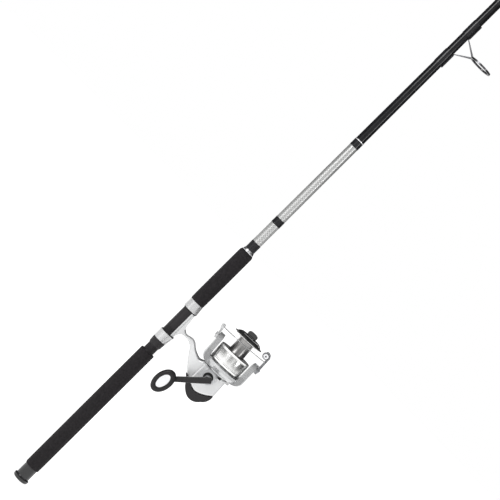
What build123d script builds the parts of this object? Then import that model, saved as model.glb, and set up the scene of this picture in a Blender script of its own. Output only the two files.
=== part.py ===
"""Spinning rod and reel: a two-piece glass rod with a screw seat, and a large fixed-spool reel on it.

Frame: the origin is the centre of the butt's flat end, +Z runs along the rod to the tip, +X points
at the reel, and the handle stands out on the -Y side. All lengths are in millimetres.
"""

import os
from math import atan2, cos, degrees, pi, radians, sin, sqrt

from build123d import *

os.makedirs("parts", exist_ok=True)

# ---------------------------------------------------------------- driving dimensions: rod
BUTT_SECTION_END = 1240.0       # where the tip section joins
ROD_END = 2438.0                # top of the tip-top ring
GLUE = 0.05                     # glue line round the blank
JOINT_GAP = 0.1                 # between faces of pieces that move apart
BUTT_RIM_R = 16.1
CAP_LENGTH = 32.0
BLANK_START = 6.0
BLANK_R = 9.65                  # blank under the grips
BLANK_TAPER_START = 608.0
BLANK_JOINT_R = 8.05            # blank at the joint
BLANK_TIP_R = 1.4
BLANK_TIP_END = 2432.0
SPIGOT_R = 6.45
SPIGOT_FIT = 0.05
SPIGOT_REACH = 70.0
GRIP_R = 15.2
GRIP_END = 331.0
SEAT_END = 456.0
SEAT_R = 11.3
THREAD_PITCH = 2.5
THREAD_DEPTH = 0.6
NUT_START = 347.0
HOOD_START = 361.0
HOOD_END = 379.0
FIXED_HOOD_START = 438.0
FOREGRIP_END = 585.0

# ---------------------------------------------------------------- driving dimensions: guides
STRIPPER_Z = 1114.0
STRIPPER_R = 23.2               # outside of the ring
STRIPPER_HEIGHT = 57.2          # ring centre above the rod's axis
TIP_GUIDES = [                  # (place along the rod, outer ring radius, height of ring centre)
    (1460.0, 17.0, 40.0),
    (1748.0, 12.25, 28.0),
    (1968.0, 10.0, 21.5),
    (2153.0, 7.9, 16.5),
    (2308.0, 6.9, 13.5),
]
WRAP_THICKNESS = 0.35

# ---------------------------------------------------------------- driving dimensions: reel
SPOOL_CENTRE = (116.8, 0.0, 400.0)
SPOOL_LEAN = 2.4                # degrees that the spool's axis leans towards the rod
CRANK_X, CRANK_Z = 109.5, 377.0
HOUSING_HALF = 17.0             # half the housing's thickness
COVER_FACE = 14.8               # where the side cover meets the housing
WALL = 2.2
MAIN_SHAFT_R = 2.0
SHAFT_FIT = 0.06
PINION_BORE = MAIN_SHAFT_R + SHAFT_FIT
PINION_TEETH = 8
FACE_TEETH = 34
PINION_PITCH_R = 3.4
SLEEVE_R = 3.9
SLEEVE_FIT = 0.05
DRIVE_SHAFT_R = 3.6
SLIDER_STROKE = 18.0
SLIDER_MID = -39.3              # middle of the slider's travel
SLIDER_HALF = 2.5
SLIDER_RIGHT = 5.6
OSCILLATION_TEETH = 30
SMALL_TEETH = 12
MODULE = 0.8
ROTOR_R = 46.4
ROTOR_INNER_R = 36.7
ARM_TOP = 53.8
PIVOT_H = 44.5
SKIRT_R = 32.5
ARM_PLANE = -64.0               # inner face of the crank arm
ARM_THICKNESS = 7.0
CRANK_LENGTH = 74.0
CRANK_ANGLE = 222.9             # degrees from +X towards +Z
KNOB_END = -104.0
ROLLER_X, ROLLER_H = 43.0, 74.0

# ---------------------------------------------------------------- planes and axes
LEAN = radians(SPOOL_LEAN)
REEL_X = (cos(LEAN), 0, sin(LEAN))
REEL_UP = (-sin(LEAN), 0, cos(LEAN))
REEL = Plane(origin=SPOOL_CENTRE, x_dir=REEL_X, z_dir=REEL_UP)
REEL_SIDE = Plane(origin=SPOOL_CENTRE, x_dir=REEL_X, z_dir=(0, -1, 0))
REEL_FRONT = Plane(origin=SPOOL_CENTRE, x_dir=(0, 1, 0), z_dir=REEL_X)
REEL_AXIS = Axis(SPOOL_CENTRE, REEL_UP)
CRANK_TOP = Plane(origin=(CRANK_X, 0, CRANK_Z), x_dir=(1, 0, 0), z_dir=(0, 0, 1))
CRANK_FACE = Plane(origin=(CRANK_X, 0, CRANK_Z), x_dir=(1, 0, 0), z_dir=(0, -1, 0))
CRANK_AXIS = Axis((CRANK_X, 0, CRANK_Z), (0, 1, 0))


CRANK_OFFSET = -REEL.to_local_coords(Vector(CRANK_X, 0, CRANK_Z)).X     # crank axis to spool axis
CRANK_DEPTH = -REEL.to_local_coords(Vector(CRANK_X, 0, CRANK_Z)).Z      # crank axis below the datum
GEAR_X = -CRANK_OFFSET + sqrt(
    (MODULE * (OSCILLATION_TEETH + SMALL_TEETH) / 2) ** 2 - (CRANK_DEPTH + SLIDER_MID) ** 2
)
PIN_CIRCLE = SLIDER_STROKE / 2
OSCILLATION_CENTRE = tuple(REEL.from_local_coords((GEAR_X, 0, SLIDER_MID)))
OSCILLATION_FACE = Plane(origin=OSCILLATION_CENTRE, x_dir=REEL_X, z_dir=(0, -1, 0))
# direction from the crank axis to the oscillation gear, where a tooth meets a gap
MESH_TURN = degrees(atan2(OSCILLATION_CENTRE[2] - CRANK_Z, OSCILLATION_CENTRE[0] - CRANK_X))


def save(piece, name):
    """Label a finished piece and write its STEP file."""
    piece.part.label = name
    export_step(piece.part, f"parts/{name}.step")


def turned(*profiles, plane=Plane.XZ, axis=Axis.Z):
    """Turn closed (radius, height) outlines about an axis, each into a solid of its own."""
    with BuildPart() as piece:
        with BuildSketch(plane):
            for profile in profiles:
                with BuildLine():
                    Polyline(*profile, close=True)
                make_face()
        revolve(axis=axis)
    return piece


def tube(inner, outer, start, end):
    """Outline of a plain ring between two radii and two heights."""
    return [(inner, start), (outer, start), (outer, end), (inner, end)]


def strut(start, end, radius):
    """Add a round strut between two points to the part being built."""
    run = Vector(*end) - Vector(*start)
    with BuildSketch(Plane(origin=start, z_dir=run)) as section:
        Circle(radius)
    extrude(section.sketch, amount=run.length)


def reel_point(x, y, h):
    """A point in the frame, from its place across, through and up the reel."""
    return tuple(REEL.from_local_coords((x, y, h)))


def blank_radius(z):
    """Outside radius of the blank at a height: straight under the grips, then one even taper."""
    if z <= BLANK_TAPER_START:
        return BLANK_R
    if z <= BUTT_SECTION_END:
        share = (z - BLANK_TAPER_START) / (BUTT_SECTION_END - BLANK_TAPER_START)
        return BLANK_R + share * (BLANK_JOINT_R - BLANK_R)
    share = (z - BUTT_SECTION_END) / (BLANK_TIP_END - BUTT_SECTION_END)
    return BLANK_JOINT_R + share * (BLANK_TIP_R - BLANK_JOINT_R)


def wrap(start, end, thickness=WRAP_THICKNESS):
    """Outline of a thread wrap round the blank, with thin ends."""
    low, high, edge = blank_radius(start) + 0.03, blank_radius(end) + 0.03, 0.6
    return [
        (low, start),
        (low + thickness * 0.5, start),
        (low + thickness, start + edge),
        (high + thickness, end - edge),
        (high + thickness * 0.5, end),
        (high, end),
    ]


# ================================================================ rod: handle
with BuildPart() as butt_cap:
    with BuildSketch(Plane.XZ):
        with BuildLine():
            Polyline((BLANK_R + GLUE, BLANK_START), (0, BLANK_START), (0, 0), (12.7, 0))
            RadiusArc((12.7, 0), (BUTT_RIM_R, 3.4), -3.4)
            Line((BUTT_RIM_R, 3.4), (BUTT_RIM_R, 6.4))
            ThreePointArc((BUTT_RIM_R, 6.4), (14.3, 7.8), (13.7, 11.0))
            Polyline(
                (13.7, 11.0), (13.7, CAP_LENGTH), (BLANK_R + GLUE, CAP_LENGTH),
                (BLANK_R + GLUE, BLANK_START)
            )
        make_face()
    revolve(axis=Axis.Z)
save(butt_cap, "butt_cap")

GRIP_BORE = BLANK_R + GLUE
rear_grip = turned([
    (GRIP_BORE, CAP_LENGTH), (13.7, CAP_LENGTH), (14.7, 33.5), (GRIP_R, 36.5), (GRIP_R, 328.5),
    (14.9, 330.3), (14.2, GRIP_END), (GRIP_BORE, GRIP_END),
])
save(rear_grip, "rear_grip")

foregrip = turned([
    (GRIP_BORE, SEAT_END), (13.6, SEAT_END), (14.4, 457.0), (14.7, 459.0), (14.7, 500.0),
    (13.2, 581.0), (12.8, 584.0), (12.0, FOREGRIP_END), (GRIP_BORE, FOREGRIP_END),
])
save(foregrip, "foregrip")

winding_check = turned([
    (GRIP_BORE, FOREGRIP_END), (12.0, FOREGRIP_END), (12.0, 586.2), (10.4, 590.0), (GRIP_BORE, 590.0),
])
save(winding_check, "winding_check")

blank_butt = turned([
    (8.05, BLANK_START), (BLANK_R, BLANK_START), (BLANK_R, BLANK_TAPER_START),
    (BLANK_JOINT_R, BUTT_SECTION_END), (SPIGOT_R + GLUE, BUTT_SECTION_END),
    (SPIGOT_R + GLUE, 1165.0), (8.05, 600.0),
])
save(blank_butt, "blank_butt")

ferrule_spigot = turned([
    (4.6, 1170.0), (SPIGOT_R, 1170.0), (SPIGOT_R, BUTT_SECTION_END + SPIGOT_REACH - 1.0),
    (SPIGOT_R - 1.0, BUTT_SECTION_END + SPIGOT_REACH), (4.6, BUTT_SECTION_END + SPIGOT_REACH),
])
save(ferrule_spigot, "ferrule_spigot")

trim_wraps = turned(
    wrap(590.1, 608.0), wrap(655.0, 669.0), wrap(853.0, 867.0), wrap(1214.0, BUTT_SECTION_END - 1.0),
)
save(trim_wraps, "trim_wraps")
trim_ring = turned(wrap(867.2, 868.9, 0.45))
save(trim_ring, "trim_ring")

# ================================================================ rod: reel seat


def thread_profile(start, end):
    """Crests and roots of the seat's thread, as rings one pitch apart."""
    points = []
    for turn in range(int((end - start) / THREAD_PITCH)):
        base = start + turn * THREAD_PITCH
        points += [
            (SEAT_R - THREAD_DEPTH, base + 0.2),
            (SEAT_R - THREAD_DEPTH, base + 0.9),
            (SEAT_R, base + 1.3),
            (SEAT_R, base + 2.1),
        ]
    return points


seat_barrel = turned([
    (GRIP_BORE, GRIP_END), (SEAT_R, GRIP_END), *thread_profile(GRIP_END + 1.0, 396.0),
    (SEAT_R, SEAT_END), (GRIP_BORE, SEAT_END),
])
save(seat_barrel, "seat_barrel")

with BuildPart() as seat_lock_nut:
    with BuildSketch(Plane.XZ):
        with BuildLine():
            Polyline(
                (SEAT_R + JOINT_GAP, NUT_START), (12.2, NUT_START), (12.8, 349.0), (13.5, 359.8),
                (13.2, HOOD_START - 0.2), (SEAT_R + JOINT_GAP, HOOD_START - 0.2), close=True,
            )
        make_face()
    revolve(axis=Axis.Z)
    with BuildSketch(Plane.XY.offset(NUT_START + 2.5)):
        with PolarLocations(13.9, 20):
            Circle(0.75)
    extrude(amount=HOOD_START - NUT_START - 5.0, mode=Mode.SUBTRACT)
save(seat_lock_nut, "seat_lock_nut")


def foot_tunnel(start, end, reach_start, reach_end, radius):
    """Add or cut the sloping bulge that holds one end of the reel's foot."""
    with BuildSketch(Plane.XY.offset(start)) as low:
        with Locations((reach_start - radius, 0)):
            Circle(radius)
    with BuildSketch(Plane.XY.offset(end)) as high:
        with Locations((reach_end - radius, 0)):
            Circle(radius)
    return loft([low.sketch.face(), high.sketch.face()], mode=Mode.PRIVATE)


def hood(start, end, reach_start, reach_end, shell_r, wall, bore, outer=None):
    """A seat hood: a sleeve with a bulge towards the reel, open inside, and fitted into an outer one."""
    with BuildPart() as piece:
        with BuildSketch(Plane.XY.offset(start)):
            Circle(shell_r)
        extrude(amount=end - start)
        add(foot_tunnel(start, end, reach_start, reach_end, 11.0))
        with BuildSketch(Plane.XY.offset(start)):
            Circle(bore)
        extrude(amount=end - start, mode=Mode.SUBTRACT)
        add(
            foot_tunnel(start, end, reach_start - wall, reach_end - wall, 11.0 - wall),
            mode=Mode.SUBTRACT,
        )
        if outer is not None:
            add(outer.part, mode=Mode.SUBTRACT)
    return piece


LINER_WALL = 0.6
SHELL_WALL = 0.8
FOOT_R = 8.3                    # crown of the reel's foot
BARREL_BORE = SEAT_R + JOINT_GAP
sliding_hood = hood(HOOD_START, HOOD_END, 14.3, 17.0, 13.6, SHELL_WALL, 12.5)
save(sliding_hood, "sliding_hood")
sliding_hood_liner = hood(
    HOOD_START + 1.0, HOOD_END + 1.8, 14.3 - SHELL_WALL, 17.0 - SHELL_WALL, 12.45,
    LINER_WALL, BARREL_BORE, sliding_hood,
)
save(sliding_hood_liner, "sliding_hood_liner")
fixed_hood = hood(FIXED_HOOD_START, SEAT_END, 16.6, 14.6, 13.9, SHELL_WALL, 12.6)
save(fixed_hood, "fixed_hood")
fixed_hood_liner = hood(
    FIXED_HOOD_START - 1.6, SEAT_END - 1.0, 16.7 - SHELL_WALL, 14.7 - SHELL_WALL, 12.55,
    LINER_WALL, SEAT_R + GLUE, fixed_hood,
)
save(fixed_hood_liner, "fixed_hood_liner")

# ================================================================ rod: guides


def guide_frame(z, ring_r, height, foot, wire_r):
    """A two-foot wire guide: a ring band round the line's path, four legs and two flat feet."""
    band, half_band = 1.5 if ring_r > 12 else 1.0, ring_r * 0.055 + 0.5
    spread, reach = 0.42, height - ring_r
    with BuildPart() as piece:
        with BuildSketch(Plane(origin=(height, 0, z), x_dir=(1, 0, 0), z_dir=(0, -1, 0))):
            with BuildLine():
                Polyline(*tube(ring_r - band, ring_r, -half_band, half_band), close=True)
            make_face()
        revolve(axis=Axis((height, 0, z), (0, 0, 1)))
        for side in (-1, 1):
            foot_z = z + side * (reach * 0.52 + 0.5)
            base = blank_radius(foot_z) + GLUE
            for across in (-1, 1):
                neck = (
                    height - (ring_r - band / 2) * cos(spread),
                    across * (ring_r - band / 2) * sin(spread),
                    z + side * half_band * 0.4,
                )
                strut((base + wire_r * 0.9, across * wire_r * 0.6, foot_z), neck, wire_r)
            far_z = foot_z + side * foot
            low, high = sorted((foot_z - side * wire_r, far_z))
            base_far = blank_radius(far_z) + GLUE
            near, thick = max(base, base_far), wire_r * 1.5
            with BuildSketch(Plane.XZ):
                with BuildLine():
                    Polyline(
                        (near, foot_z - side * wire_r), (near + thick, foot_z - side * wire_r),
                        (near + thick, foot_z + side * foot * 0.5), (near + 0.35, far_z), (near, far_z),
                        close=True,
                    )
                make_face()
            extrude(amount=wire_r * 1.5, both=True)
    return piece


def guide_ring(z, ring_r, height):
    """Outline, about the ring's own axis, of the smooth ceramic ring inside the band."""
    band, half_band = 1.5 if ring_r > 12 else 1.0, ring_r * 0.055 + 0.5
    outer = ring_r - band - GLUE
    inner = outer - (1.9 if ring_r > 12 else 1.1)
    return [
        (outer, -half_band * 0.8), (outer, half_band * 0.8), (inner + 0.7, half_band),
        (inner, half_band * 0.45), (inner, -half_band * 0.45), (inner + 0.7, -half_band),
    ]


def add_guide_ring(z, ring_r, height):
    """Turn one ceramic ring in place."""
    outline = guide_ring(z, ring_r, height)
    with BuildSketch(Plane(origin=(height, 0, z), x_dir=(1, 0, 0), z_dir=(0, -1, 0))) as section:
        with BuildLine():
            Polyline(*outline, close=True)
        make_face()
    revolve(section.sketch, axis=Axis((height, 0, z), (0, 0, 1)))


def add_foot_wraps(frame, z, ring_r, height, foot, wire_r, thickness):
    """Bind both feet of a guide: a sleeve round the blank and a bulge over the foot."""
    reach = height - ring_r
    for side in (-1, 1):
        start = z + side * (reach * 0.52 + 0.5 + wire_r * 2.2)
        end = start + side * (foot + 3.0)
        low, high = sorted((start, end))
        ridge_r = wire_r * 2.6
        with BuildSketch(Plane.XY.offset(low)) as section:
            Circle(blank_radius(low) + 0.03 + thickness)
            with Locations((blank_radius(low) + wire_r * 1.9 + thickness - ridge_r, 0)):
                Circle(ridge_r)
        sleeve = extrude(section.sketch, amount=high - low, mode=Mode.PRIVATE)
        with BuildSketch(Plane.XZ) as core_section:
            with BuildLine():
                Polyline(
                    (0, low - 1), (blank_radius(low - 1) + 0.03, low - 1),
                    (blank_radius(high + 1) + 0.03, high + 1), (0, high + 1), close=True,
                )
            make_face()
        core = revolve(core_section.sketch, axis=Axis.Z, mode=Mode.PRIVATE)
        add(sleeve - core - frame.part)


STRIPPER_FOOT, STRIPPER_WIRE = 27.0, 0.9
stripper_guide_frame = guide_frame(STRIPPER_Z, STRIPPER_R, STRIPPER_HEIGHT, STRIPPER_FOOT, STRIPPER_WIRE)
save(stripper_guide_frame, "stripper_guide_frame")
with BuildPart() as stripper_guide_ring:
    add_guide_ring(STRIPPER_Z, STRIPPER_R, STRIPPER_HEIGHT)
save(stripper_guide_ring, "stripper_guide_ring")
with BuildPart() as stripper_guide_wraps:
    add_foot_wraps(
        stripper_guide_frame, STRIPPER_Z, STRIPPER_R, STRIPPER_HEIGHT, STRIPPER_FOOT, STRIPPER_WIRE, 0.5
    )
save(stripper_guide_wraps, "stripper_guide_wraps")

# ================================================================ rod: tip section
TIP_START = BUTT_SECTION_END + JOINT_GAP
SPIGOT_BORE_END = BUTT_SECTION_END + SPIGOT_REACH + 4.0
blank_tip = turned([
    (SPIGOT_R + SPIGOT_FIT, TIP_START), (BLANK_JOINT_R, TIP_START), (BLANK_TIP_R, BLANK_TIP_END),
    (0.6, BLANK_TIP_END), (SPIGOT_R + SPIGOT_FIT - 0.3, SPIGOT_BORE_END),
    (SPIGOT_R + SPIGOT_FIT, SPIGOT_BORE_END),
])
save(blank_tip, "blank_tip")

tip_frames = []
for number, (z, ring_r, height) in enumerate(TIP_GUIDES, start=1):
    frame = guide_frame(z, ring_r, height, 10.0 + ring_r * 0.7, 0.45 + ring_r * 0.018)
    tip_frames.append(frame)
    save(frame, f"tip_guide_{number}_frame")

TIP_TOP_R = 4.6
TIP_TOP_Z = ROD_END - 1.0
TIP_TOP_X = 5.2
with BuildPart() as tip_top:
    with BuildSketch(Plane.XZ):
        with BuildLine():
            Polyline(*tube(1.65, 2.2, 2414.0, 2434.0), close=True)
        make_face()
    revolve(axis=Axis.Z)
    with BuildSketch(Plane(origin=(TIP_TOP_X, 0, TIP_TOP_Z), x_dir=(1, 0, 0), z_dir=(0, -1, 0))):
        with BuildLine():
            Polyline(*tube(TIP_TOP_R - 0.9, TIP_TOP_R, -1.0, 1.0), close=True)
        make_face()
    revolve(axis=Axis((TIP_TOP_X, 0, TIP_TOP_Z), (0, 0, 1)))
    for across in (-1, 1):
        strut((2.3, across * 1.2, 2418.0), (TIP_TOP_X + 1.5, across * 3.95, TIP_TOP_Z - 0.8), 0.55)
    with BuildSketch(Plane.XY.offset(2410.0)):
        Circle(1.65)
    extrude(amount=22.5, mode=Mode.SUBTRACT)
    with BuildSketch(Plane.XY.offset(2432.1)):
        with Locations((TIP_TOP_X, 0)):
            Circle(TIP_TOP_R - 0.9)
    extrude(amount=10.0, mode=Mode.SUBTRACT)
save(tip_top, "tip_top")

with BuildPart() as tip_guide_rings:
    for z, ring_r, height in TIP_GUIDES:
        add_guide_ring(z, ring_r, height)
    with BuildSketch(Plane(origin=(TIP_TOP_X, 0, TIP_TOP_Z), x_dir=(1, 0, 0), z_dir=(0, -1, 0))) as eye:
        with BuildLine():
            Polyline(*tube(TIP_TOP_R - 1.6, TIP_TOP_R - 0.95, -0.9, 0.9), close=True)
        make_face()
    revolve(eye.sketch, axis=Axis((TIP_TOP_X, 0, TIP_TOP_Z), (0, 0, 1)))
save(tip_guide_rings, "tip_guide_rings")

with BuildPart() as tip_wraps:
    for frame, (z, ring_r, height) in zip(tip_frames, TIP_GUIDES):
        add_foot_wraps(frame, z, ring_r, height, 10.0 + ring_r * 0.7, 0.45 + ring_r * 0.018, 0.55)
    with BuildSketch(Plane.XZ):
        for start, end in ((TIP_START + 1.0, 1275.0), (2402.0, 2413.8)):
            with BuildLine():
                Polyline(*wrap(start, end, 0.55), close=True)
            make_face()
    revolve(axis=Axis.Z)
save(tip_wraps, "tip_wraps")

# ================================================================ reel: fixed housing
HOUSING_TOP_LEFT = (86.6, 391.7)
HOUSING_TOP_RIGHT = (138.4, 393.9)
HOUSING_SIDE = (139.6, 378.0)
HOUSING_LOW_RIGHT = (140.4, 358.2)
HOUSING_BOTTOM = (110.0, 341.0)
HOUSING_LOW_LEFT = (86.6, 352.0)


def housing_outline(drop=0.0):
    """Close the housing's side outline; drop lowers its round bottom."""
    right = (HOUSING_LOW_RIGHT[0], HOUSING_LOW_RIGHT[1] - drop)
    bottom = (HOUSING_BOTTOM[0], HOUSING_BOTTOM[1] - drop)
    left = (HOUSING_LOW_LEFT[0], HOUSING_LOW_LEFT[1] - drop)
    Polyline(left, HOUSING_TOP_LEFT, HOUSING_TOP_RIGHT, HOUSING_SIDE, right)
    ThreePointArc(right, (127.4, 347.9 - drop), bottom)
    ThreePointArc(bottom, (97.4, 344.0 - drop), left)


STEM_SECTIONS = [       # (X, upper edge, lower edge, half thickness)
    (19.5, 407.0, 394.6, 6.2),
    (24.6, 403.7, 396.4, 6.0),
    (35.0, 404.0, 396.4, 6.0),
    (44.6, 404.8, 392.6, 6.6),
    (53.6, 398.6, 381.8, 8.2),
    (60.6, 393.4, 372.4, 10.2),
    (68.6, 389.7, 363.0, 12.3),
    (76.6, 388.2, 354.2, 13.8),
    (88.6, 391.0, 352.4, COVER_FACE - 0.05),
]
FOOT_STEPS = [          # (Z, crown's reach, next Z, its reach)
    (371.0, 12.6, 381.5, 14.7),
    (434.5, 14.7, 446.0, 12.6),
]
SCREW_POSTS = [(134.6, 363.5), (93.0, 355.2), (90.6, 388.4), (135.0, 380.2)]
COLLAR_R = 22.5
COLLAR_TOP = -1.8
COLLAR_BASE = -7.7
BOSS_TOP = 4.9
BEARING_R = 8.0
CLUTCH_R = 9.6
GUIDE_ROD_X = -18.4
GUIDE_ROD_R = 1.2
LEVER_Z = 391.2

with BuildPart() as reel_body:
    # housing tub, open on the +Y side
    with BuildSketch(Plane.XZ.offset(-COVER_FACE)):
        with BuildLine():
            housing_outline()
        make_face()
    extrude(amount=COVER_FACE + HOUSING_HALF)
    fillet(reel_body.faces().sort_by(Axis.Y)[0].edges(), radius=4.0)
    # stem, carried through rounded sections from the foot to the housing
    for x, upper, lower, half in STEM_SECTIONS:
        with BuildSketch(Plane(origin=(x, 0, (upper + lower) / 2), x_dir=(0, 1, 0), z_dir=(1, 0, 0))):
            RectangleRounded(2 * half, upper - lower, radius=min(3.0, (upper - lower) / 2 - 0.2))
    loft()
    # foot: a saddle on the seat with tapering ends, and the root of the stem
    for z, reach, z_next, reach_next in FOOT_STEPS:
        with BuildSketch(Plane.XY.offset(z)):
            with Locations((reach - FOOT_R, 0)):
                Circle(FOOT_R)
        with BuildSketch(Plane.XY.offset(z_next)):
            with Locations((reach_next - FOOT_R, 0)):
                Circle(FOOT_R)
        loft()
    with BuildSketch(Plane.XY.offset(FOOT_STEPS[0][2])):
        with Locations((FOOT_STEPS[0][3] - FOOT_R, 0)):
            Circle(FOOT_R)
    extrude(amount=FOOT_STEPS[1][0] - FOOT_STEPS[0][2])
    with BuildSketch(Plane.XZ):
        with BuildLine():
            Polyline((12.0, 384.0), (14.4, 384.0), (16.8, 392.0), (19.5, 394.8), (19.5, 406.8))
            Spline((19.5, 406.8), (17.9, 412.0), (16.6, 422.0), (14.6, 434.5))
            Polyline((14.6, 434.5), (12.0, 434.5), (12.0, 384.0))
        make_face()
    extrude(amount=5.6, both=True)
    with BuildSketch(Plane.XY.offset(360.0)):
        Circle(SEAT_R + GLUE)
        with Locations((-16.0, 0)):
            Rectangle(40.0, 40.0)
    extrude(amount=100.0, mode=Mode.SUBTRACT)
    # collar under the rotor, the boss for the pinion's bearing, and the handle's boss
    with BuildSketch(REEL.offset(COLLAR_BASE)):
        Circle(COLLAR_R)
    extrude(amount=COLLAR_TOP - COLLAR_BASE)
    with BuildSketch(REEL.offset(COLLAR_TOP)):
        Circle(12.0)
    extrude(amount=BOSS_TOP - COLLAR_TOP)
    with BuildSketch(CRANK_FACE.offset(HOUSING_HALF - 1.0)):
        Circle(16.0)
    extrude(amount=6.0, taper=10)
    # the gear chamber
    with BuildSketch(Plane.XZ.offset(-COVER_FACE)):
        with BuildLine():
            housing_outline()
        make_face()
        offset(amount=-WALL, mode=Mode.REPLACE)
    extrude(amount=COVER_FACE + HOUSING_HALF - WALL, mode=Mode.SUBTRACT)
    for x, z in SCREW_POSTS:
        with BuildSketch(Plane(origin=(x, 0, z), x_dir=(1, 0, 0), z_dir=(0, -1, 0)).offset(-COVER_FACE)):
            Circle(3.4)
        extrude(amount=COVER_FACE + HOUSING_HALF - 1.0)
    with BuildSketch(REEL.offset(-13.0)):
        Circle(20.4)
    extrude(amount=9.0, mode=Mode.SUBTRACT)
    for x, z in SCREW_POSTS:
        with BuildSketch(Plane(origin=(x, 0, z), x_dir=(1, 0, 0), z_dir=(0, -1, 0)).offset(-COVER_FACE)):
            Circle(1.25)
        extrude(amount=14.0, mode=Mode.SUBTRACT)
    # seats: pinion bearing, one-way clutch, handle bearing, drive shaft, guide rod and switch
    with BuildSketch(REEL.offset(-5.0)):
        Circle(BEARING_R + GLUE)
    extrude(amount=5.2, mode=Mode.SUBTRACT)
    with BuildSketch(REEL.offset(0.2)):
        Circle(CLUTCH_R + GLUE)
    extrude(amount=6.0, mode=Mode.SUBTRACT)
    with BuildSketch(CRANK_FACE.offset(17.6)):
        Circle(BEARING_R + GLUE)
    extrude(amount=8.0, mode=Mode.SUBTRACT)
    with BuildSketch(CRANK_FACE.offset(HOUSING_HALF - 4.0)):
        Circle(5.0)
    extrude(amount=6.0, mode=Mode.SUBTRACT)
    with BuildSketch(Plane(origin=(136.0, 0, LEVER_Z), z_dir=(1, 0, 0))):
        Circle(1.56)
    extrude(amount=5.0, mode=Mode.SUBTRACT)
save(reel_body, "reel_body")

with BuildPart() as side_cover:
    with BuildSketch(Plane.XZ.offset(-COVER_FACE)):
        with BuildLine():
            housing_outline()
        make_face()
    extrude(amount=-2.8)
    fillet(side_cover.faces().sort_by(Axis.Y)[-1].edges(), radius=1.6)
    with BuildSketch(CRANK_FACE.offset(-10.8)):
        Circle(10.4)
    extrude(amount=-4.2)
    with BuildSketch(OSCILLATION_FACE.offset(-8.0)):
        Circle(4.0)
    extrude(amount=8.0 - COVER_FACE)
    with BuildSketch(OSCILLATION_FACE.offset(-7.0)):
        Circle(2.06)
    extrude(amount=-7.6, mode=Mode.SUBTRACT)
    with BuildSketch(CRANK_FACE.offset(-COVER_FACE - 2.4)):
        Circle(11.0)
    extrude(amount=-1.6, taper=15)
    with BuildSketch(CRANK_FACE.offset(-10.0)):
        Circle(BEARING_R + GLUE)
    extrude(amount=-10.0, mode=Mode.SUBTRACT)
    for x, z in SCREW_POSTS:
        with BuildSketch(Plane(origin=(x, 0, z), x_dir=(1, 0, 0), z_dir=(0, -1, 0)).offset(-COVER_FACE)):
            Circle(1.35)
        extrude(amount=-4.0, mode=Mode.SUBTRACT)
    with BuildSketch(REEL.offset(COLLAR_BASE - 0.15)):
        Circle(COLLAR_R + 0.1)
    extrude(amount=8.0, mode=Mode.SUBTRACT)
save(side_cover, "side_cover")

with BuildPart() as side_cover_screws:
    for x, z in SCREW_POSTS:
        face = Plane(origin=(x, 0, z), x_dir=(1, 0, 0), z_dir=(0, -1, 0))
        with BuildSketch(face.offset(-COVER_FACE - 2.8)):
            Circle(2.5)
        extrude(amount=-1.1)
        with BuildSketch(face.offset(-COVER_FACE - 2.8)):
            Circle(1.2)
        extrude(amount=14.0)
        with BuildSketch(face.offset(-COVER_FACE - 3.9)):
            Rectangle(4.0, 0.7)
            Rectangle(0.7, 4.0)
        extrude(amount=0.6, mode=Mode.SUBTRACT)
save(side_cover_screws, "side_cover_screws")


def rear_outline():
    """Close the outline of the bumper round the housing's bottom."""
    ThreePointArc((140.6, 358.0), (138.6, 344.6), (130.6, 335.2))
    ThreePointArc((130.6, 335.2), (115.4, 325.4), (98.6, 330.0))
    ThreePointArc((98.6, 330.0), (90.4, 337.2), (84.6, 346.0))
    Polyline((84.6, 346.0), (75.8, 353.6), (86.6, 352.0 - GLUE))
    ThreePointArc((86.6, 352.0 - GLUE), (97.4, 344.0 - GLUE), (110.0, 341.0 - GLUE))
    ThreePointArc((110.0, 341.0 - GLUE), (127.4, 347.9 - GLUE), (140.3, 358.0))
    Line((140.3, 358.0), (140.6, 358.0))


with BuildPart() as rear_cover:
    with BuildSketch(Plane.XZ):
        with BuildLine():
            rear_outline()
        make_face()
    extrude(amount=HOUSING_HALF + 0.8, both=True)
    with BuildSketch(Plane(origin=(0, 0, WALL), x_dir=(1, 0, 0), z_dir=(0, -1, 0))):
        with BuildLine():
            rear_outline()
        make_face()
    extrude(amount=HOUSING_HALF - WALL, both=True, mode=Mode.SUBTRACT)
    add(reel_body.part, mode=Mode.SUBTRACT)
save(rear_cover, "rear_cover")

BEARING_OUT, BEARING_IN = 21.9, 17.7
handle_bearings = turned(
    tube(DRIVE_SHAFT_R + SHAFT_FIT, BEARING_R, -BEARING_OUT, -BEARING_IN),
    tube(DRIVE_SHAFT_R + SHAFT_FIT, BEARING_R, 10.9, 15.1),
    plane=CRANK_TOP, axis=CRANK_AXIS,
)
save(handle_bearings, "handle_bearings")
bearing_retainer = turned(
    [(9.5, -22.05), (14.2, -22.05), (14.0, -24.2), (13.4, -25.2), (12.3, -25.2), (12.1, -24.6),
     (11.8, -24.6),
     (11.6, -25.2), (10.0, -25.2), (9.5, -24.6)],
    plane=CRANK_TOP, axis=CRANK_AXIS,
)
save(bearing_retainer, "bearing_retainer")
handle_seal = turned(
    tube(6.9, 9.4, -24.4, -22.05), plane=CRANK_TOP, axis=CRANK_AXIS,
)
save(handle_seal, "handle_seal")
with BuildPart() as side_cap:
    with BuildSketch(CRANK_TOP):
        with BuildLine():
            Polyline(
                (0, 17.0), (6.4, 17.0), (6.4, 15.6), (7.9, 15.6), (7.9, 19.25), (10.0, 19.25),
                (10.0, 20.8),
                (8.8, 22.0), (0, 22.0), close=True,
            )
        make_face()
    revolve(axis=CRANK_AXIS)
    with BuildSketch(CRANK_FACE.offset(-22.0)):
        Rectangle(11.0, 1.6)
    extrude(amount=1.2, mode=Mode.SUBTRACT)
save(side_cap, "side_cap")

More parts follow.
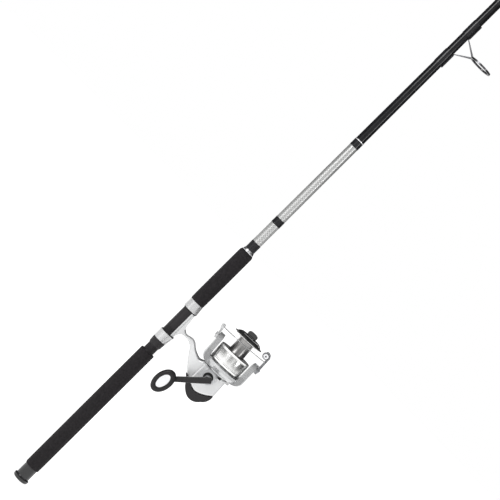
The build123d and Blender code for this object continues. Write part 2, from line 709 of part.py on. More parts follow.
pinion_bearing = turned(
    tube(SLEEVE_R + SLEEVE_FIT, BEARING_R, -3.9, 0.1), plane=REEL_SIDE, axis=REEL_AXIS
)
save(pinion_bearing, "pinion_bearing")
anti_reverse_clutch = turned(
    tube(SLEEVE_R + SLEEVE_FIT, CLUTCH_R, 0.25, 4.7), plane=REEL_SIDE, axis=REEL_AXIS
)
save(anti_reverse_clutch, "anti_reverse_clutch")
with BuildPart() as slider_guide_rod:
    with BuildSketch(REEL.offset(-53.0)):
        with Locations((GUIDE_ROD_X, 0)):
            Circle(GUIDE_ROD_R)
    extrude(amount=53.0 - 4.0)
save(slider_guide_rod, "slider_guide_rod")

with BuildPart() as anti_reverse_lever:
    with BuildSketch(Plane(origin=(137.2, 0, LEVER_Z), z_dir=(1, 0, 0))):
        Circle(1.5)
    extrude(amount=3.4)
    with BuildSketch(Plane(origin=(139.7, 0, LEVER_Z - 0.4), x_dir=(0, 1, 0), z_dir=(1, 0, 0))):
        RectangleRounded(5.6, 5.4, 1.2)
    extrude(amount=5.6, taper=8)
save(anti_reverse_lever, "anti_reverse_lever")

# ================================================================ reel: gears and crank
CONTACT_RISE = FACE_TEETH * PINION_PITCH_R / PINION_TEETH               # contact above the crank axis
CONTACT_H = CONTACT_RISE - CRANK_DEPTH
FACE_TOOTH_TIP = -3.0
FACE_ROOT = -4.4
TOOTH_PHASE = 0.5                                                      # share of a pitch

with BuildPart() as pinion_gear:
    with BuildSketch(REEL.offset(CONTACT_H - 2.4)):
        Circle(2.75)
        with PolarLocations(0, PINION_TEETH, start_angle=-90):
            Polygon((2.4, -0.62), (3.9, -0.3), (3.9, 0.3), (2.4, 0.62), align=None)
    extrude(amount=4.8)
    with BuildSketch(REEL.offset(CONTACT_H + 2.4)):
        Circle(SLEEVE_R)
    extrude(amount=13.4 - CONTACT_H - 2.4)
    with BuildSketch(REEL.offset(CONTACT_H - 3.0)):
        Circle(PINION_BORE)
    extrude(amount=18.0 - CONTACT_H, mode=Mode.SUBTRACT)
save(pinion_gear, "pinion_gear")


def spur_outline(teeth, pitch_r, start=0.0):
    """Sketch a spur gear with straight-sided teeth."""
    tooth = MODULE * pi / 2 * 0.4
    Circle(pitch_r - MODULE * 1.15)
    root, tip = pitch_r - MODULE * 1.4, pitch_r + MODULE * 0.8
    with PolarLocations(0, teeth, start_angle=start):
        Polygon(
            (root, -tooth * 1.25), (pitch_r, -tooth * 0.86), (tip, -tooth * 0.45),
            (tip, tooth * 0.45), (pitch_r, tooth * 0.86), (root, tooth * 1.25), align=None,
        )


with BuildPart() as drive_gear:
    with BuildSketch(CRANK_TOP):
        with BuildLine():
            Polyline(
                (0, -22.3), (DRIVE_SHAFT_R, -22.3), (DRIVE_SHAFT_R, -14.6), (6.5, -14.0),
                (6.5, -9.0), (10.0, -7.6),
                (CONTACT_RISE + 2.9, -7.0), (CONTACT_RISE + 2.9, FACE_ROOT),
                (DRIVE_SHAFT_R + 2.0, FACE_ROOT),
                (DRIVE_SHAFT_R, -2.6), (DRIVE_SHAFT_R, 15.3), (0, 15.3), close=True,
            )
        make_face()
    revolve(axis=CRANK_AXIS)
    # face teeth: bars along lines that pass the axis at the spool's offset
    face_plane = Plane(
        origin=(CRANK_X, FACE_ROOT - 0.4, CRANK_Z), x_dir=REEL_X, z_dir=(0, 1, 0)
    )
    with BuildSketch(face_plane):
        with PolarLocations(0, FACE_TEETH, start_angle=360 / FACE_TEETH * TOOTH_PHASE):
            with Locations((CRANK_OFFSET, -CONTACT_RISE)):
                Rectangle(0.95, 2.6)
    extrude(amount=FACE_TOOTH_TIP - FACE_ROOT + 0.4)
    with BuildSketch(CRANK_FACE.offset(-4.4)):
        spur_outline(SMALL_TEETH, MODULE * SMALL_TEETH / 2, MESH_TURN)
    extrude(amount=-2.4)
    with BuildSketch(CRANK_FACE.offset(12.0)):
        Circle(2.25)
    extrude(amount=12.0, mode=Mode.SUBTRACT)
save(drive_gear, "drive_gear")

with BuildPart() as crank_shank:
    with BuildSketch(CRANK_FACE.offset(12.6)):
        Circle(2.2)
    extrude(amount=12.0)
    with BuildSketch(CRANK_FACE.offset(22.8)):
        Circle(6.8)
    extrude(amount=-ARM_PLANE - 22.8)
    chamfer(crank_shank.edges().filter_by(GeomType.CIRCLE).group_by(Axis.Y)[0], length=0.6)
save(crank_shank, "crank_shank")

ARM_DIR = radians(CRANK_ANGLE)
KNOB_X = CRANK_X + CRANK_LENGTH * cos(ARM_DIR)
KNOB_Z = CRANK_Z + CRANK_LENGTH * sin(ARM_DIR)
ARM_SIDE = Plane(
    origin=(CRANK_X, ARM_PLANE, CRANK_Z), x_dir=(cos(ARM_DIR), 0, sin(ARM_DIR)), z_dir=(0, -1, 0)
)
KNOB_FACE = Plane(origin=(KNOB_X, 0, KNOB_Z), x_dir=(cos(ARM_DIR), 0, sin(ARM_DIR)), z_dir=(0, -1, 0))
with BuildPart() as crank_arm:
    with BuildSketch(ARM_SIDE):
        with BuildLine():
            Polyline(
                (-8.6, -5.6), (12.0, -5.7), (CRANK_LENGTH - 6.0, -4.6), (CRANK_LENGTH + 4.0, -4.6),
                (CRANK_LENGTH + 6.4, -2.0), (CRANK_LENGTH + 6.4, 2.0), (CRANK_LENGTH + 4.0, 4.6),
                (CRANK_LENGTH - 6.0, 4.6), (12.0, 5.7), (-8.6, 5.6), close=True,
            )
        make_face()
    extrude(amount=ARM_THICKNESS)
    fillet(crank_arm.edges().filter_by(Axis.Y).group_by(SortBy.LENGTH)[-1], radius=1.4)
    fillet(crank_arm.faces().sort_by(Axis.Y)[0].edges(), radius=1.2)
save(crank_arm, "crank_arm")

POST_R = 3.0
POST_END = 99.6
with BuildPart() as knob_post:
    with BuildSketch(KNOB_FACE.offset(-ARM_PLANE + ARM_THICKNESS)):
        Circle(POST_R)
    extrude(amount=POST_END + ARM_PLANE - ARM_THICKNESS)
    with BuildSketch(KNOB_FACE.offset(POST_END - 1.6)):
        Circle(4.6)
    extrude(amount=1.6)
save(knob_post, "knob_post")

# the knob's long axis leans from the arm's line
KNOB_LONG = radians(81.0)
KNOB_PLANE = Plane(
    origin=(KNOB_X, 0, KNOB_Z), x_dir=(cos(KNOB_LONG), 0, sin(KNOB_LONG)), z_dir=(0, -1, 0)
)
KNOB_START = -ARM_PLANE + ARM_THICKNESS + 1.0
with BuildPart() as handle_knob:
    for depth, long_r, short_r in (
        (KNOB_START, 9.0, 8.0), (KNOB_START + 8.0, 13.5, 10.6), (90.0, 22.0, 14.6), (98.0, 25.2, 16.3),
        (102.0, 24.6, 15.7), (-KNOB_END, 21.4, 12.8),
    ):
        with BuildSketch(KNOB_PLANE.offset(depth)):
            Ellipse(long_r, short_r)
    loft()
    with BuildSketch(KNOB_PLANE.offset(KNOB_START - 1.0)):
        Circle(POST_R + SHAFT_FIT)
    extrude(amount=30.0, mode=Mode.SUBTRACT)
    with BuildSketch(KNOB_PLANE.offset(POST_END - 2.0)):
        Circle(5.2)
    extrude(amount=10.0, mode=Mode.SUBTRACT)
    with BuildSketch(KNOB_PLANE.offset(101.2)):
        Ellipse(15.0, 8.2)
    extrude(amount=10.0, mode=Mode.SUBTRACT)
save(handle_knob, "handle_knob")
with BuildPart() as knob_end_cap:
    with BuildSketch(KNOB_PLANE.offset(101.2)):
        Ellipse(14.9, 8.1)
    extrude(amount=1.5)
save(knob_end_cap, "knob_end_cap")

with BuildPart() as oscillation_gear:
    with BuildSketch(OSCILLATION_FACE.offset(-4.4)):
        spur_outline(
            OSCILLATION_TEETH, MODULE * OSCILLATION_TEETH / 2,
            MESH_TURN + 180.0 - SPOOL_LEAN + 180.0 / OSCILLATION_TEETH
        )
    extrude(amount=-2.4)
    with BuildSketch(OSCILLATION_FACE.offset(-6.8)):
        Circle(2.0)
    extrude(amount=-7.6)
    with BuildSketch(OSCILLATION_FACE.offset(-4.4)):
        with Locations((0, -PIN_CIRCLE)):
            Circle(1.3)
    extrude(amount=0.8)
save(oscillation_gear, "oscillation_gear")

# ================================================================ reel: rotor and bail
with BuildPart() as rotor:
    # two arms, cut from one turned wall
    with BuildSketch(REEL_SIDE):
        with BuildLine():
            Polyline((24.5, -5.0), (33.0, -5.0))
            ThreePointArc((33.0, -5.0), (42.6, -1.2), (ROTOR_R, 9.5))
            Polyline(
                (ROTOR_R, 9.5), (ROTOR_R, ARM_TOP), (ROTOR_INNER_R, ARM_TOP), (ROTOR_INNER_R, 12.0)
            )
            ThreePointArc((ROTOR_INNER_R, 12.0), (34.6, 6.0), (30.0, 3.6))
            Polyline((30.0, 3.6), (24.5, 3.6), (24.5, -5.0))
        make_face()
    revolve(axis=REEL_AXIS)
    with BuildSketch(REEL_FRONT):
        with BuildLine():
            Polyline((-21.0, -6.0), (-13.5, 18.0), (-11.5, 42.8))
            ThreePointArc((-11.5, 42.8), (0, ARM_TOP - 0.3), (11.5, 42.8))
            Polyline((11.5, 42.8), (13.5, 18.0), (21.0, -6.0), (-21.0, -6.0))
        make_face()
    extrude(amount=60.0, both=True, mode=Mode.INTERSECT)
    # cup, floor, hub and the inner wall that the spool's skirt covers
    with BuildSketch(REEL_SIDE):
        with BuildLine():
            Polyline(
                (SLEEVE_R + GLUE, 5.5), (24.0, 5.5), (24.5, -5.0), (31.0, -5.0), (35.4, -2.6),
                (37.4, 2.0), (37.4, 7.2), (35.0, 7.2), (32.6, 4.2), (28.2, 4.2), (28.2, 27.0),
                (26.0, 28.0), (26.0, 8.6), (SLEEVE_R + GLUE, 8.6), close=True,
            )
        make_face()
    revolve(axis=REEL_AXIS)
    for side in (-1, 1):
        strut(reel_point(side * 38.0, 0, PIVOT_H), reel_point(side * 46.7, 0, PIVOT_H), 5.0)
        with BuildSketch(REEL_FRONT.offset(side * 38.0)) as socket:
            with Locations((0, PIVOT_H)):
                Circle(2.06)
        extrude(socket.sketch, amount=side * 12.0, mode=Mode.SUBTRACT)
save(rotor, "rotor")

with BuildPart() as rotor_nut:
    with BuildSketch(REEL.offset(8.65)):
        RegularPolygon(8.0, 6)
        Circle(SLEEVE_R + GLUE, mode=Mode.SUBTRACT)
    extrude(amount=4.0)
save(rotor_nut, "rotor_nut")

PLATE_IN = 46.95
with BuildPart() as bail_pivot_screws:
    for side, head in ((-1, 51.1), (1, 51.9)):
        strut(reel_point(side * 38.2, 0, PIVOT_H), reel_point(side * head, 0, PIVOT_H), 2.0)
        strut(reel_point(side * head, 0, PIVOT_H), reel_point(side * (head + 1.3), 0, PIVOT_H), 3.8)
save(bail_pivot_screws, "bail_pivot_screws")

with BuildPart() as bail_arm:
    with BuildSketch(REEL_FRONT.offset(PLATE_IN)):
        with BuildLine():
            Polyline(
                (-4.4, 37.4), (4.4, 37.4), (7.6, 44.5), (6.2, 58.0), (6.0, 70.0), (-6.0, 70.0),
                (-6.2, 58.0), (-7.6, 44.5), close=True,
            )
        make_face()
        with Locations((0, PIVOT_H)):
            Circle(2.06, mode=Mode.SUBTRACT)
    extrude(amount=4.6)
    # the curled end round the line roller
    with BuildSketch(REEL_SIDE.offset(-6.0)):
        with BuildLine():
            CenterArc((ROLLER_X, ROLLER_H), 8.6, -42.0, 158.0)
            CenterArc((ROLLER_X, ROLLER_H), 6.3, -42.0, 158.0)
            for turn in (-42.0, 116.0):
                angle = radians(turn)
                Line(
                    (ROLLER_X + 6.3 * cos(angle), ROLLER_H + 6.3 * sin(angle)),
                    (ROLLER_X + 8.6 * cos(angle), ROLLER_H + 8.6 * sin(angle)),
                )
        make_face()
    extrude(amount=12.0)
    with BuildSketch(REEL_SIDE.offset(-6.0)):
        with Locations((ROLLER_X, ROLLER_H)):
            Circle(6.9)
    extrude(amount=1.9)
    with BuildSketch(REEL_SIDE.offset(-6.0)):
        with Locations((ROLLER_X, ROLLER_H)):
            Circle(1.8)
    extrude(amount=11.2)
save(bail_arm, "bail_arm")

with BuildPart() as line_roller:
    with BuildSketch(Plane(origin=reel_point(ROLLER_X, 0, ROLLER_H), x_dir=REEL_X, z_dir=REEL_UP)):
        with BuildLine():
            Polyline(
                (1.86, -4.6), (4.9, -4.6), (5.3, -4.0), (4.4, -2.0), (4.1, -0.4), (4.4, 1.4),
                (5.3, 3.2), (4.9, 3.8), (1.86, 3.8), close=True,
            )
        make_face()
    revolve(axis=Axis(reel_point(ROLLER_X, 0, ROLLER_H), (0, 1, 0)))
save(line_roller, "line_roller")

with BuildPart() as bail_holder:
    with BuildSketch(REEL_FRONT.offset(-PLATE_IN)):
        with BuildLine():
            Polyline(
                (-4.0, 37.0), (4.0, 37.0), (7.0, 44.5), (5.0, 58.0), (-5.0, 58.0), (-7.0, 44.5),
                close=True,
            )
        make_face()
        with Locations((0, PIVOT_H)):
            Circle(2.06, mode=Mode.SUBTRACT)
    extrude(amount=-3.8)
    with BuildSketch(REEL_SIDE.offset(-5.0)):
        with BuildLine():
            Polyline(
                (-PLATE_IN, 54.0), (-PLATE_IN, 64.5), (-48.4, 66.4), (-52.6, 66.4), (-55.2, 63.0),
                (-54.0, 58.6), (-50.7, 54.0), close=True,
            )
        make_face()
    extrude(amount=10.0)
    long_edges = bail_holder.edges().filter_by(Axis.Y).group_by(SortBy.LENGTH)[-1]
    fillet(long_edges.sort_by(Axis.Z)[-3:], radius=0.9)
save(bail_holder, "bail_holder")

WIRE_R = 0.8
WIRE_RIGHT, WIRE_LEFT, WIRE_START, WIRE_APEX = 49.2, -50.4, -6.1, -61.5
WIRE_H, WIRE_RISE, WIRE_SLOPE = 64.2, 3.6, 1.4
wire_x = Vector(*reel_point(1, 0, WIRE_SLOPE / 50)) - Vector(*SPOOL_CENTRE)
wire_y = Vector(*reel_point(0, 1, WIRE_RISE / WIRE_APEX)) - Vector(*SPOOL_CENTRE)
WIRE_PLANE = Plane(
    origin=reel_point(0, 0, WIRE_H), x_dir=tuple(wire_x), z_dir=tuple(wire_x.cross(wire_y))
)
with BuildPart() as bail_wire:
    with BuildLine(WIRE_PLANE) as wire_path:
        FilletPolyline(
            (WIRE_RIGHT, WIRE_START), (WIRE_RIGHT, WIRE_APEX), (WIRE_LEFT, WIRE_APEX),
            (WIRE_LEFT, WIRE_START + 1.0),
            radius=47.0,
        )
    with BuildSketch(Plane(origin=wire_path.line @ 0, z_dir=wire_path.line % 0)):
        Circle(WIRE_R)
    sweep()
save(bail_wire, "bail_wire")

# ================================================================ reel: shaft, slider, spool and drag
with BuildPart() as main_shaft:
    with BuildSketch(REEL.offset(SLIDER_MID - PIN_CIRCLE - SLIDER_HALF)):
        Circle(MAIN_SHAFT_R)
    extrude(amount=86.0 - (SLIDER_MID - PIN_CIRCLE - SLIDER_HALF))
    with BuildSketch(REEL.offset(36.2)):
        Circle(5.4)
    extrude(amount=1.6)
save(main_shaft, "main_shaft")

with BuildPart() as oscillation_slider:
    with BuildSketch(REEL.offset(SLIDER_MID - PIN_CIRCLE - SLIDER_HALF)):
        # its handle side stays clear of the drive gear's face teeth
        with Locations(((GUIDE_ROD_X - 2.6 + SLIDER_RIGHT) / 2, 0.3)):
            Rectangle(SLIDER_RIGHT - GUIDE_ROD_X + 2.6, 5.8)
        Circle(MAIN_SHAFT_R + 0.01, mode=Mode.SUBTRACT)
        with Locations((GUIDE_ROD_X, 0)):
            Circle(GUIDE_ROD_R + SHAFT_FIT, mode=Mode.SUBTRACT)
    extrude(amount=2 * SLIDER_HALF)
    with BuildSketch(OSCILLATION_FACE.offset(-3.3)):
        with Locations((0, -PIN_CIRCLE)):
            SlotCenterToCenter(PIN_CIRCLE * 2 + 1.0, 3.0)
    extrude(amount=1.1, mode=Mode.SUBTRACT)
save(oscillation_slider, "oscillation_slider")

spool = turned(
    [
        (MAIN_SHAFT_R + SHAFT_FIT, 38.0), (MAIN_SHAFT_R + SHAFT_FIT, 62.0), (13.2, 62.0), (13.2, 74.6),
        (30.9, 74.6), (31.3, 74.2), (31.3, 73.2), (26.0, 71.6), (15.2, 70.2), (16.2, 41.0),
        (31.8, 41.0), (SKIRT_R, 40.4), (SKIRT_R, 17.2), (32.0, 16.8), (32.0, 14.8), (SKIRT_R, 14.4),
        (SKIRT_R, 13.0), (32.1, 10.6), (31.0, 8.6), (29.6, 8.6), (30.6, 12.0), (30.6, 39.0),
        (14.4, 39.0), (13.4, 60.0), (6.5, 60.0), (6.5, 38.0),
    ],
    plane=REEL_SIDE, axis=REEL_AXIS,
)
save(spool, "spool")

DRAG_START, DRAG_PITCH = 62.15, 1.45
drag_washers = turned(
    *[
        tube(MAIN_SHAFT_R + 0.1, 12.9 - 0.3 * (layer % 2), DRAG_START + layer * DRAG_PITCH,
             DRAG_START + layer * DRAG_PITCH + 1.3)
        for layer in range(6)
    ],
    plane=REEL_SIDE, axis=REEL_AXIS,
)
save(drag_washers, "drag_washers")

drag_cap = turned(
    [(9.3, 74.75), (27.2, 74.75), (27.2, 75.6), (25.6, 77.4), (21.6, 80.0), (20.0, 80.6), (9.3, 80.6)],
    plane=REEL_SIDE, axis=REEL_AXIS,
)
save(drag_cap, "drag_cap")

with BuildPart() as drag_knob:
    with BuildSketch(REEL_SIDE):
        with BuildLine():
            Polyline((2.06, 71.6), (9.0, 71.6), (9.0, 80.9), (10.4, 80.9), (10.4, 84.0))
            ThreePointArc((10.4, 84.0), (9.6, 88.0), (5.6, 90.4))
            Polyline((5.6, 90.4), (0, 90.4), (0, 86.3), (2.06, 86.3), (2.06, 71.6))
        make_face()
    revolve(axis=REEL_AXIS)
    for side in (-1, 1):
        with BuildSketch(REEL_SIDE.offset(side * 4.2)) as grip_cut:
            with Locations((0, 89.6)):
                Rectangle(26.0, 13.4)
        extrude(grip_cut.sketch, amount=side * 10.0, mode=Mode.SUBTRACT)
save(drag_knob, "drag_knob")
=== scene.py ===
"""Looks of a take-apart spinning rod and its reel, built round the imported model.

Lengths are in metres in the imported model's frame: +Z runs up the rod from the butt, +X is
the side of the reel and the line guides, and the reel's handle is on the -Y side.
"""

import logging
import math
from dataclasses import dataclass, field
from enum import Enum
from typing import Callable, Iterable, Sequence

import bmesh
import bpy
import numpy as np
from mathutils import Matrix, Vector

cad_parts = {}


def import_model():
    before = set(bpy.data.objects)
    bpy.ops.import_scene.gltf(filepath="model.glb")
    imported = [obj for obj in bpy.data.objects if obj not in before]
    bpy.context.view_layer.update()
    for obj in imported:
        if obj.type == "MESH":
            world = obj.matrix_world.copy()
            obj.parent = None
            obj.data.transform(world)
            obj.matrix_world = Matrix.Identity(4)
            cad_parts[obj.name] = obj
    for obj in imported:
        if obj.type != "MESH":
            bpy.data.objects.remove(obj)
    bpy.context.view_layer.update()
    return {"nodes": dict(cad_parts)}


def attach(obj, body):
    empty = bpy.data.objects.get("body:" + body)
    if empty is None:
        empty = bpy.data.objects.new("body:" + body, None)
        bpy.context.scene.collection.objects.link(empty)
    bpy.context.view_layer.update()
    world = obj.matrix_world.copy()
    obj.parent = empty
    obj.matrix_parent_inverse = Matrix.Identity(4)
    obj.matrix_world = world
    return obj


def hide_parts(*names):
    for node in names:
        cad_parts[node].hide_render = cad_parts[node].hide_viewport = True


LOG = logging.getLogger("rod")
MM = 0.001
Colour = tuple[float, float, float]

LEAN = math.radians(2.4)
REEL_CENTRE = np.array([116.8, 0.0, 400.0]) * MM
REEL_ACROSS = np.array([math.cos(LEAN), 0.0, math.sin(LEAN)])
REEL_SIDE = np.array([0.0, 1.0, 0.0])
REEL_UP = np.array([-math.sin(LEAN), 0.0, math.cos(LEAN)])


# ---------------------------------------------------------------- surfaces
@dataclass(frozen=True)
class Axes:
    """A place to build in: an origin and three directions, the third one being the axis."""

    origin: np.ndarray
    first: np.ndarray
    second: np.ndarray
    axis: np.ndarray

    def place(self, local: np.ndarray) -> np.ndarray:
        """Carry local points of shape (..., 3) into the model's frame."""
        return self.origin + local @ np.stack([self.first, self.second, self.axis])


ROD_AXES = Axes(np.zeros(3), np.array([1.0, 0, 0]), np.array([0, 1.0, 0]), np.array([0, 0, 1.0]))
REEL_AXES = Axes(REEL_CENTRE, REEL_ACROSS, REEL_SIDE, REEL_UP)


def grid_mesh(name: str, points: np.ndarray, wrap_rows: bool, wrap_columns: bool,
              crease: float = 0.6) -> bpy.types.Object:
    """Turn a grid of points into a closed, outward-facing mesh object.

    Each cell of the grid becomes a four-sided face between neighbouring rows and columns.

    Args:
        name: the object's name.
        points: array of shape (rows, columns, 3), in metres.
        wrap_rows: whether the last row joins the first.
        wrap_columns: whether the last column joins the first.
        crease: angle, in radians, over which an edge stays sharp.

    Returns:
        The object, linked to the scene and resting at the origin.
    """
    rows, columns = points.shape[:2]
    row = np.arange(rows if wrap_rows else rows - 1)
    column = np.arange(columns if wrap_columns else columns - 1)
    a, b = np.meshgrid(row, column, indexing="ij")
    c, d = (a + 1) % rows, (b + 1) % columns
    corners = np.stack([a * columns + b, a * columns + d, c * columns + d, c * columns + b], -1)
    mesh = bpy.data.meshes.new(name)
    mesh.from_pydata(points.reshape(-1, 3).tolist(), [], corners.reshape(-1, 4).tolist())
    shell = bmesh.new()
    shell.from_mesh(mesh)
    bmesh.ops.remove_doubles(shell, verts=shell.verts, dist=2e-7)
    rims = [e for e in shell.edges if e.is_boundary]
    if rims:
        bmesh.ops.holes_fill(shell, edges=rims, sides=0)
    bmesh.ops.recalc_face_normals(shell, faces=shell.faces)
    shell.to_mesh(mesh)
    shell.free()
    mesh.shade_smooth()
    mesh.set_sharp_from_angle(angle=crease)
    piece = bpy.data.objects.new(name, mesh)
    bpy.context.scene.collection.objects.link(piece)
    return piece


def lathe(name: str, profile: np.ndarray, axes: Axes, steps: int = 96, closed: bool = True,
          relief: Callable[[np.ndarray, np.ndarray], np.ndarray] | None = None,
          crease: float = 0.6) -> bpy.types.Object:
    """Turn a profile about an axis: x = r cos t, y = r sin t, z = h.

    Args:
        name: the object's name.
        profile: array of (radius, height) rows, in metres.
        axes: where the axis stands.
        steps: number of steps round the axis.
        closed: whether the profile is a loop, as on a ring or a sleeve.
        relief: adds to the radius, given arrays of height and angle.
        crease: angle over which an edge stays sharp.

    Returns:
        The turned object.
    """
    turn = np.linspace(0, 2 * np.pi, steps, endpoint=False)
    radius, height = profile[:, :1], profile[:, 1:2]
    if relief is not None:
        radius = radius + relief(height, turn[None, :])
    radius = np.broadcast_to(radius, (len(profile), steps))
    local = np.stack([radius * np.cos(turn), radius * np.sin(turn),
                      np.broadcast_to(height, radius.shape)], -1)
    return grid_mesh(name, axes.place(local), closed, True, crease)


def rounded(corners: Sequence[tuple[float, float]], radius: float, steps: int = 5) -> np.ndarray:
    """Round every corner of a closed outline, in millimetres, and give it in metres.

    Each corner becomes a quadratic curve that starts and ends a radius away from it, or at
    45 percent of a shorter side: p = (1-s)^2 a + 2 s (1-s) corner + s^2 b.

    Args:
        corners: the outline's corners in order.
        radius: how far from a corner its rounding starts.
        steps: points along each rounding.

    Returns:
        Array of outline points in metres.
    """
    at = np.array(corners, float)
    back, ahead = np.roll(at, 1, 0) - at, np.roll(at, -1, 0) - at
    back_length = np.linalg.norm(back, axis=1, keepdims=True)
    ahead_length = np.linalg.norm(ahead, axis=1, keepdims=True)
    cut = np.minimum(radius, 0.45 * np.minimum(back_length, ahead_length))
    start, end = at + back / back_length * cut, at + ahead / ahead_length * cut
    s = np.linspace(0, 1, steps)[None, :, None]
    curve = (1 - s) ** 2 * start[:, None] + 2 * s * (1 - s) * at[:, None] + s**2 * end[:, None]
    return curve.reshape(-1, 2) * MM


# ---------------------------------------------------------------- materials
class Recipe:
    """Writes one material as a graph of nodes that ends in a principled shader."""

    def __init__(self, name: str) -> None:
        """Start an empty material with its shader and its Object coordinates."""
        self.material = bpy.data.materials.new(name)
        self.material.use_nodes = True
        self.tree = self.material.node_tree
        self.shader = self.tree.nodes["Principled BSDF"]
        self.coordinates = self.tree.nodes.new("ShaderNodeTexCoord").outputs["Object"]

    def set(self, **sockets: float | Colour) -> None:
        """Set the shader's own sockets, named with underscores for spaces."""
        for key, value in sockets.items():
            socket = self.shader.inputs[key.replace("_", " ")]
            socket.default_value = (*value, 1.0) if isinstance(value, tuple) else value

    def join(self, value: object, socket: bpy.types.NodeSocket) -> None:
        """Link an output to a socket, or store a plain value in it."""
        if isinstance(value, bpy.types.NodeSocket):
            self.tree.links.new(value, socket)
        else:
            socket.default_value = value

    def maths(self, operation: str, *values: object) -> bpy.types.NodeSocket:
        """One Math node; gives its result."""
        node = self.tree.nodes.new("ShaderNodeMath")
        node.operation = operation
        for value, socket in zip(values, node.inputs):
            self.join(value, socket)
        return node.outputs[0]

    def along(self, direction: Sequence[float],
              point: Sequence[float] = (0, 0, 0)) -> bpy.types.NodeSocket:
        """Distance from a point along a direction, in metres."""
        node = self.tree.nodes.new("ShaderNodeVectorMath")
        node.operation = "DOT_PRODUCT"
        self.tree.links.new(self.coordinates, node.inputs[0])
        node.inputs[1].default_value = tuple(map(float, direction))
        shift = float(np.dot(direction, point))
        reach = node.outputs["Value"]
        return self.maths("SUBTRACT", reach, shift) if shift else reach

    def around(self, axes: Axes) -> bpy.types.NodeSocket:
        """Angle about an axis, in radians: the arc tangent of second over first."""
        return self.maths("ARCTAN2", self.along(axes.second, axes.origin),
                          self.along(axes.first, axes.origin))

    def stretched(self, scale: Sequence[float]) -> bpy.types.NodeSocket:
        """Object coordinates multiplied by a factor for each direction."""
        node = self.tree.nodes.new("ShaderNodeMapping")
        self.tree.links.new(self.coordinates, node.inputs["Vector"])
        node.inputs["Scale"].default_value = tuple(scale)
        return node.outputs["Vector"]

    def noise(self, scale: float, detail: float = 3.0,
              vector: bpy.types.NodeSocket | None = None) -> bpy.types.NodeSocket:
        """Noise of a given number of waves per metre."""
        node = self.tree.nodes.new("ShaderNodeTexNoise")
        self.tree.links.new(vector or self.coordinates, node.inputs["Vector"])
        node.inputs["Scale"].default_value = scale
        node.inputs["Detail"].default_value = detail
        return node.outputs["Fac"]

    def cells(self, scale: float) -> bpy.types.NodeSocket:
        """Distance to the nearest of scattered cell centres."""
        node = self.tree.nodes.new("ShaderNodeTexVoronoi")
        self.tree.links.new(self.coordinates, node.inputs["Vector"])
        node.inputs["Scale"].default_value = scale
        return node.outputs["Distance"]

    def ramp(self, value: bpy.types.NodeSocket,
             stops: Iterable[tuple[float, Colour]]) -> bpy.types.NodeSocket:
        """Colours for a value from 0 to 1."""
        node = self.tree.nodes.new("ShaderNodeValToRGB")
        self.tree.links.new(value, node.inputs["Fac"])
        stops = list(stops)
        bands = node.color_ramp.elements
        while len(bands) < len(stops):
            bands.new(0.5)
        for band, (place, colour) in zip(bands, stops):
            band.position = place
            band.color = (*colour, 1.0)
        return node.outputs["Color"]

    def mixed(self, share: object, low: object, high: object) -> bpy.types.NodeSocket:
        """A colour between low and high."""
        node = self.tree.nodes.new("ShaderNodeMix")
        node.data_type = "RGBA"
        self.join(share, node.inputs["Factor"])
        for value, socket in ((low, node.inputs[6]), (high, node.inputs[7])):
            self.join((*value, 1.0) if isinstance(value, tuple) else value, socket)
        return node.outputs[2]

    def band(self, value: bpy.types.NodeSocket, low: float, high: float) -> bpy.types.NodeSocket:
        """1 where a value lies between two limits, else 0."""
        return self.maths("MULTIPLY", self.maths("GREATER_THAN", value, low),
                          self.maths("LESS_THAN", value, high))

    def total(self, *values: object) -> bpy.types.NodeSocket:
        """The sum of several values."""
        result = values[0]
        for value in values[1:]:
            result = self.maths("ADD", result, value)
        return result

    def colour(self, value: bpy.types.NodeSocket) -> None:
        """Feed the base colour."""
        self.tree.links.new(value, self.shader.inputs["Base Color"])

    def roughness(self, value: bpy.types.NodeSocket, low: float, high: float) -> None:
        """Feed the roughness with a value of 0 to 1, spread from low to high."""
        spread = self.maths("MULTIPLY_ADD", value, high - low, low)
        self.tree.links.new(spread, self.shader.inputs["Roughness"])

    def bump(self, height: bpy.types.NodeSocket, depth: float, strength: float = 1.0) -> None:
        """Raise the surface by a height of 0 to 1 times a depth in metres."""
        node = self.tree.nodes.new("ShaderNodeBump")
        self.tree.links.new(height, node.inputs["Height"])
        node.inputs["Distance"].default_value = depth
        node.inputs["Strength"].default_value = strength
        self.tree.links.new(node.outputs["Normal"], self.shader.inputs["Normal"])


@dataclass(frozen=True)
class Foam:
    """Closed-cell EVA foam: dull charcoal with fine pores and a soft sheen."""

    colour: Colour = (0.0135, 0.012, 0.0132)
    pore: float = 1500.0

    def make(self, name: str) -> bpy.types.Material:
        """Mottle the colour a little and sink the pores."""
        recipe = Recipe(name)
        dark = tuple(c * 0.7 for c in self.colour)
        light = tuple(c * 1.45 for c in self.colour)
        recipe.colour(recipe.ramp(recipe.noise(260.0, 5.0), [(0.3, dark), (0.7, light)]))
        recipe.roughness(recipe.noise(self.pore), 0.72, 0.92)
        recipe.set(Sheen_Weight=0.04, Specular_IOR_Level=0.2)
        pores = recipe.total(recipe.cells(self.pore), recipe.noise(self.pore * 1.7, 2.0))
        recipe.bump(pores, 0.00022, 0.55)
        return recipe.material


